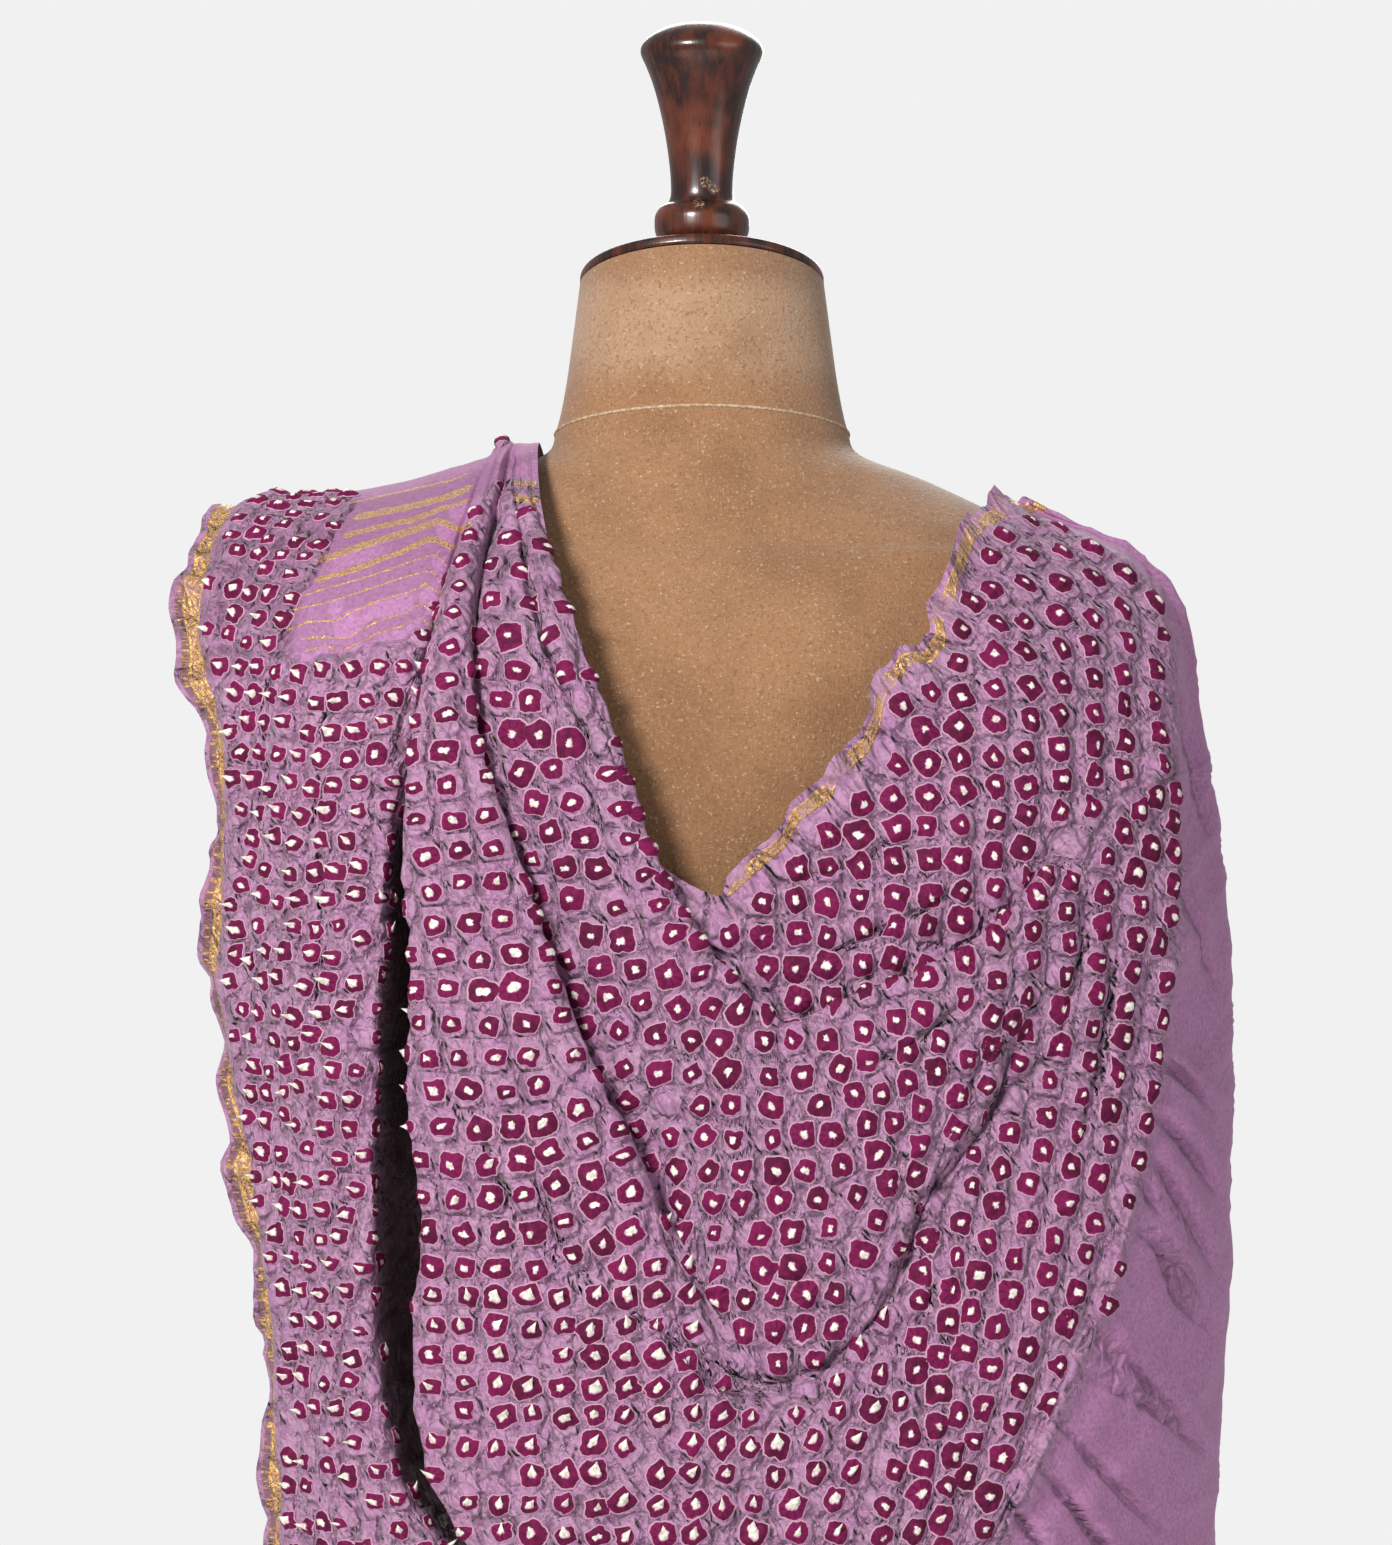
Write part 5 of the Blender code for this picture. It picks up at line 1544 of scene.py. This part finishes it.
def seam_finish():
    thread = Finish("seam_thread", 0.85)
    space = thread.space()
    pale = thread.share(thread.noise(space, 600.0), 0.4, 0.65)
    thread.colour(thread.mix(pale, LINEN_WORN, LINEN_FLECK))
    thread.normal(thread.relief(thread.noise(space, 1500.0), 0.0003, 0.6))
    return thread.material


CHIPS = ((0.0013, 0.7588), (-0.0015, 0.7490), (0.0052, 0.7560))


def wood_finish():
    """Dark red-brown turned wood, glossy, with upright grain and a few worn chips."""
    wood = Finish("turned_wood", 0.30, Coat_Weight=0.35, Coat_Roughness=0.12)
    grain = wood.noise(wood.space((260.0, 260.0, 14.0)), 1.0, 4.0, 0.65)
    pores = wood.noise(wood.space((900.0, 900.0, 40.0)), 1.0, 2.0, 0.6)
    space = wood.space()
    broad = wood.noise(space, 40.0, 2.0)
    base = wood.mix(wood.share(grain, 0.40, 0.66), WOOD_DARK, WOOD)
    base = wood.mix(wood.share(broad, 0.42, 0.70, 0.0, 0.65), base, WOOD_WARM)
    base = wood.mix(wood.share(pores, 0.56, 0.70, 0.0, 0.6), base, WOOD_DARK)
    at = wood.node("SeparateXYZ")
    wood.tree.links.new(space, at.inputs[0])
    worn = 0.0
    for x, z in CHIPS:
        off_x = wood.sum("SUBTRACT", at.outputs["X"], x)
        off_z = wood.sum("SUBTRACT", at.outputs["Z"], z)
        square = wood.sum("ADD", wood.sum("MULTIPLY", off_x, off_x), wood.sum("MULTIPLY", off_z, off_z))
        worn = wood.sum("MAXIMUM", worn, wood.share(wood.sum("SQRT", square), 0.0012, 0.0032, 1.0, 0.0))
    front = wood.share(at.outputs["Y"], 0.010, 0.016, 1.0, 0.0)
    ragged = wood.share(wood.noise(space, 900.0, 3.0, 0.8), 0.50, 0.58)
    worn = wood.sum("MULTIPLY", wood.sum("MULTIPLY", worn, front), ragged)
    wood.colour(wood.mix(worn, base, WOOD_CHIP))
    wood.rough(wood.share(grain, 0.3, 0.7, 0.38, 0.24))
    wood.normal(wood.relief(wood.sum("ADD", grain, pores), 0.0003, 0.25))
    return wood.material


def make_floor():
    finish = Finish("floor", 0.9)
    finish.colour((0.80, 0.80, 0.80, 1.0))
    mesh = bpy.data.meshes.new("floor")
    reach = 1.1
    count = 96
    ring = []
    for i in range(count):
        turn = 2 * math.pi * i / count
        ring.append((reach * math.cos(turn), reach * math.sin(turn), -0.0005))
    mesh.from_pydata(ring, [], [tuple(range(count))])
    floor = bpy.data.objects.new("floor", mesh)
    mesh.materials.append(finish.material)
    bpy.context.scene.collection.objects.link(floor)


# Area lights: place, size in metres, watts and colour.
LIGHTS = (
    ("key", (-0.95, -1.85, 1.40), 0.55, 54.0, (1.0, 0.985, 0.965)),
    ("fill", (1.70, -1.50, 0.85), 1.6, 9.0, (0.97, 0.98, 1.0)),
    ("back", (0.30, 1.90, 1.60), 1.5, 22.0, (1.0, 1.0, 1.0)),
)
LIGHT_AIM = (0.0, 0.0, 0.45)
BACKGROUND = (0.880, 0.880, 0.880, 1.0)
ROOM_LIGHT = 0.37


def make_lights():
    for name, place, size, watts, tint in LIGHTS:
        data = bpy.data.lights.new(name, "AREA")
        data.shape = "DISK"
        data.size = size
        data.energy = watts
        data.color = tint
        light = bpy.data.objects.new(name, data)
        light.location = place
        aim = Vector(LIGHT_AIM) - Vector(place)
        light.rotation_euler = aim.to_track_quat("-Z", "Y").to_euler()
        bpy.context.scene.collection.objects.link(light)
    world = bpy.data.worlds.new("studio")
    world.use_nodes = True
    tree = world.node_tree
    backdrop = tree.nodes["Background"]
    backdrop.inputs["Color"].default_value = BACKGROUND
    room = tree.nodes.new("ShaderNodeBackground")
    room.inputs["Color"].default_value = BACKGROUND
    room.inputs["Strength"].default_value = ROOM_LIGHT
    path = tree.nodes.new("ShaderNodeLightPath")
    choose = tree.nodes.new("ShaderNodeMixShader")
    tree.links.new(path.outputs["Is Camera Ray"], choose.inputs[0])
    tree.links.new(room.outputs[0], choose.inputs[1])
    tree.links.new(backdrop.outputs[0], choose.inputs[2])
    tree.links.new(choose.outputs[0], tree.nodes["World Output"].inputs["Surface"])
    bpy.context.scene.world = world


def make_camera():
    data = bpy.data.cameras.new("camera")
    data.lens = LENS
    camera = bpy.data.objects.new("camera", data)
    camera.location = (SIGHT_X, -SIGHT_DISTANCE, SIGHT_HEIGHT)
    camera.rotation_euler = (math.pi / 2, 0.0, 0.0)
    bpy.context.scene.collection.objects.link(camera)
    bpy.context.scene.camera = camera
    bpy.context.scene.view_settings.view_transform = "Standard"


def dress():
    make_camera()
    make_lights()
    make_floor()
    wood, linen = wood_finish(), cover_finish()
    form = make_form(linen)
    make_neck_seam(seam_finish())
    make_cap(wood)
    make_finial(wood)

    cloth = Cloth(sheet_grid())
    deepen_hollows(cloth)
    cloth.measure()
    shape_borders(cloth)
    cloth.measure()
    cloth.keep_smooth()
    press_creases(cloth)
    cloth.measure()
    tied = tied_share(cloth)
    dots = dot_places(cloth)
    between = puff(cloth, dots)
    low = crinkle(cloth, tied)
    cloth.measure()
    shawl = make_shawl(cloth, between, tied, low, silk_finish())
    dye = ring_finish()
    fields = dots[4]
    rings = []
    for name, chosen in (
        ("rings_chest", fields == CHEST),
        ("rings_cowl", fields == COWL),
        ("rings_pleat", (fields == LOW_FRONT) | (fields == PLEAT)),
        ("rings_panel", fields > PLEAT),
    ):
        mesh = dot_field_mesh(cloth, dots, chosen, name, len(rings) + 31)
        rings.append(add_piece(name, mesh, dye))
        print(name, int(chosen.sum()), "rings", len(mesh.polygons), "triangles")


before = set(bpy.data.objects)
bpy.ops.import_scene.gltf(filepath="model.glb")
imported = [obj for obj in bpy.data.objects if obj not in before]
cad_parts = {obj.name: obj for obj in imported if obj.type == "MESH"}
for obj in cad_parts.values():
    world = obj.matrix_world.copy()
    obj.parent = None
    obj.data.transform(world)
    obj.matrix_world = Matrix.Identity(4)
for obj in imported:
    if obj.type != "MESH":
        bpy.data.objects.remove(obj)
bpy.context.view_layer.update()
dress()
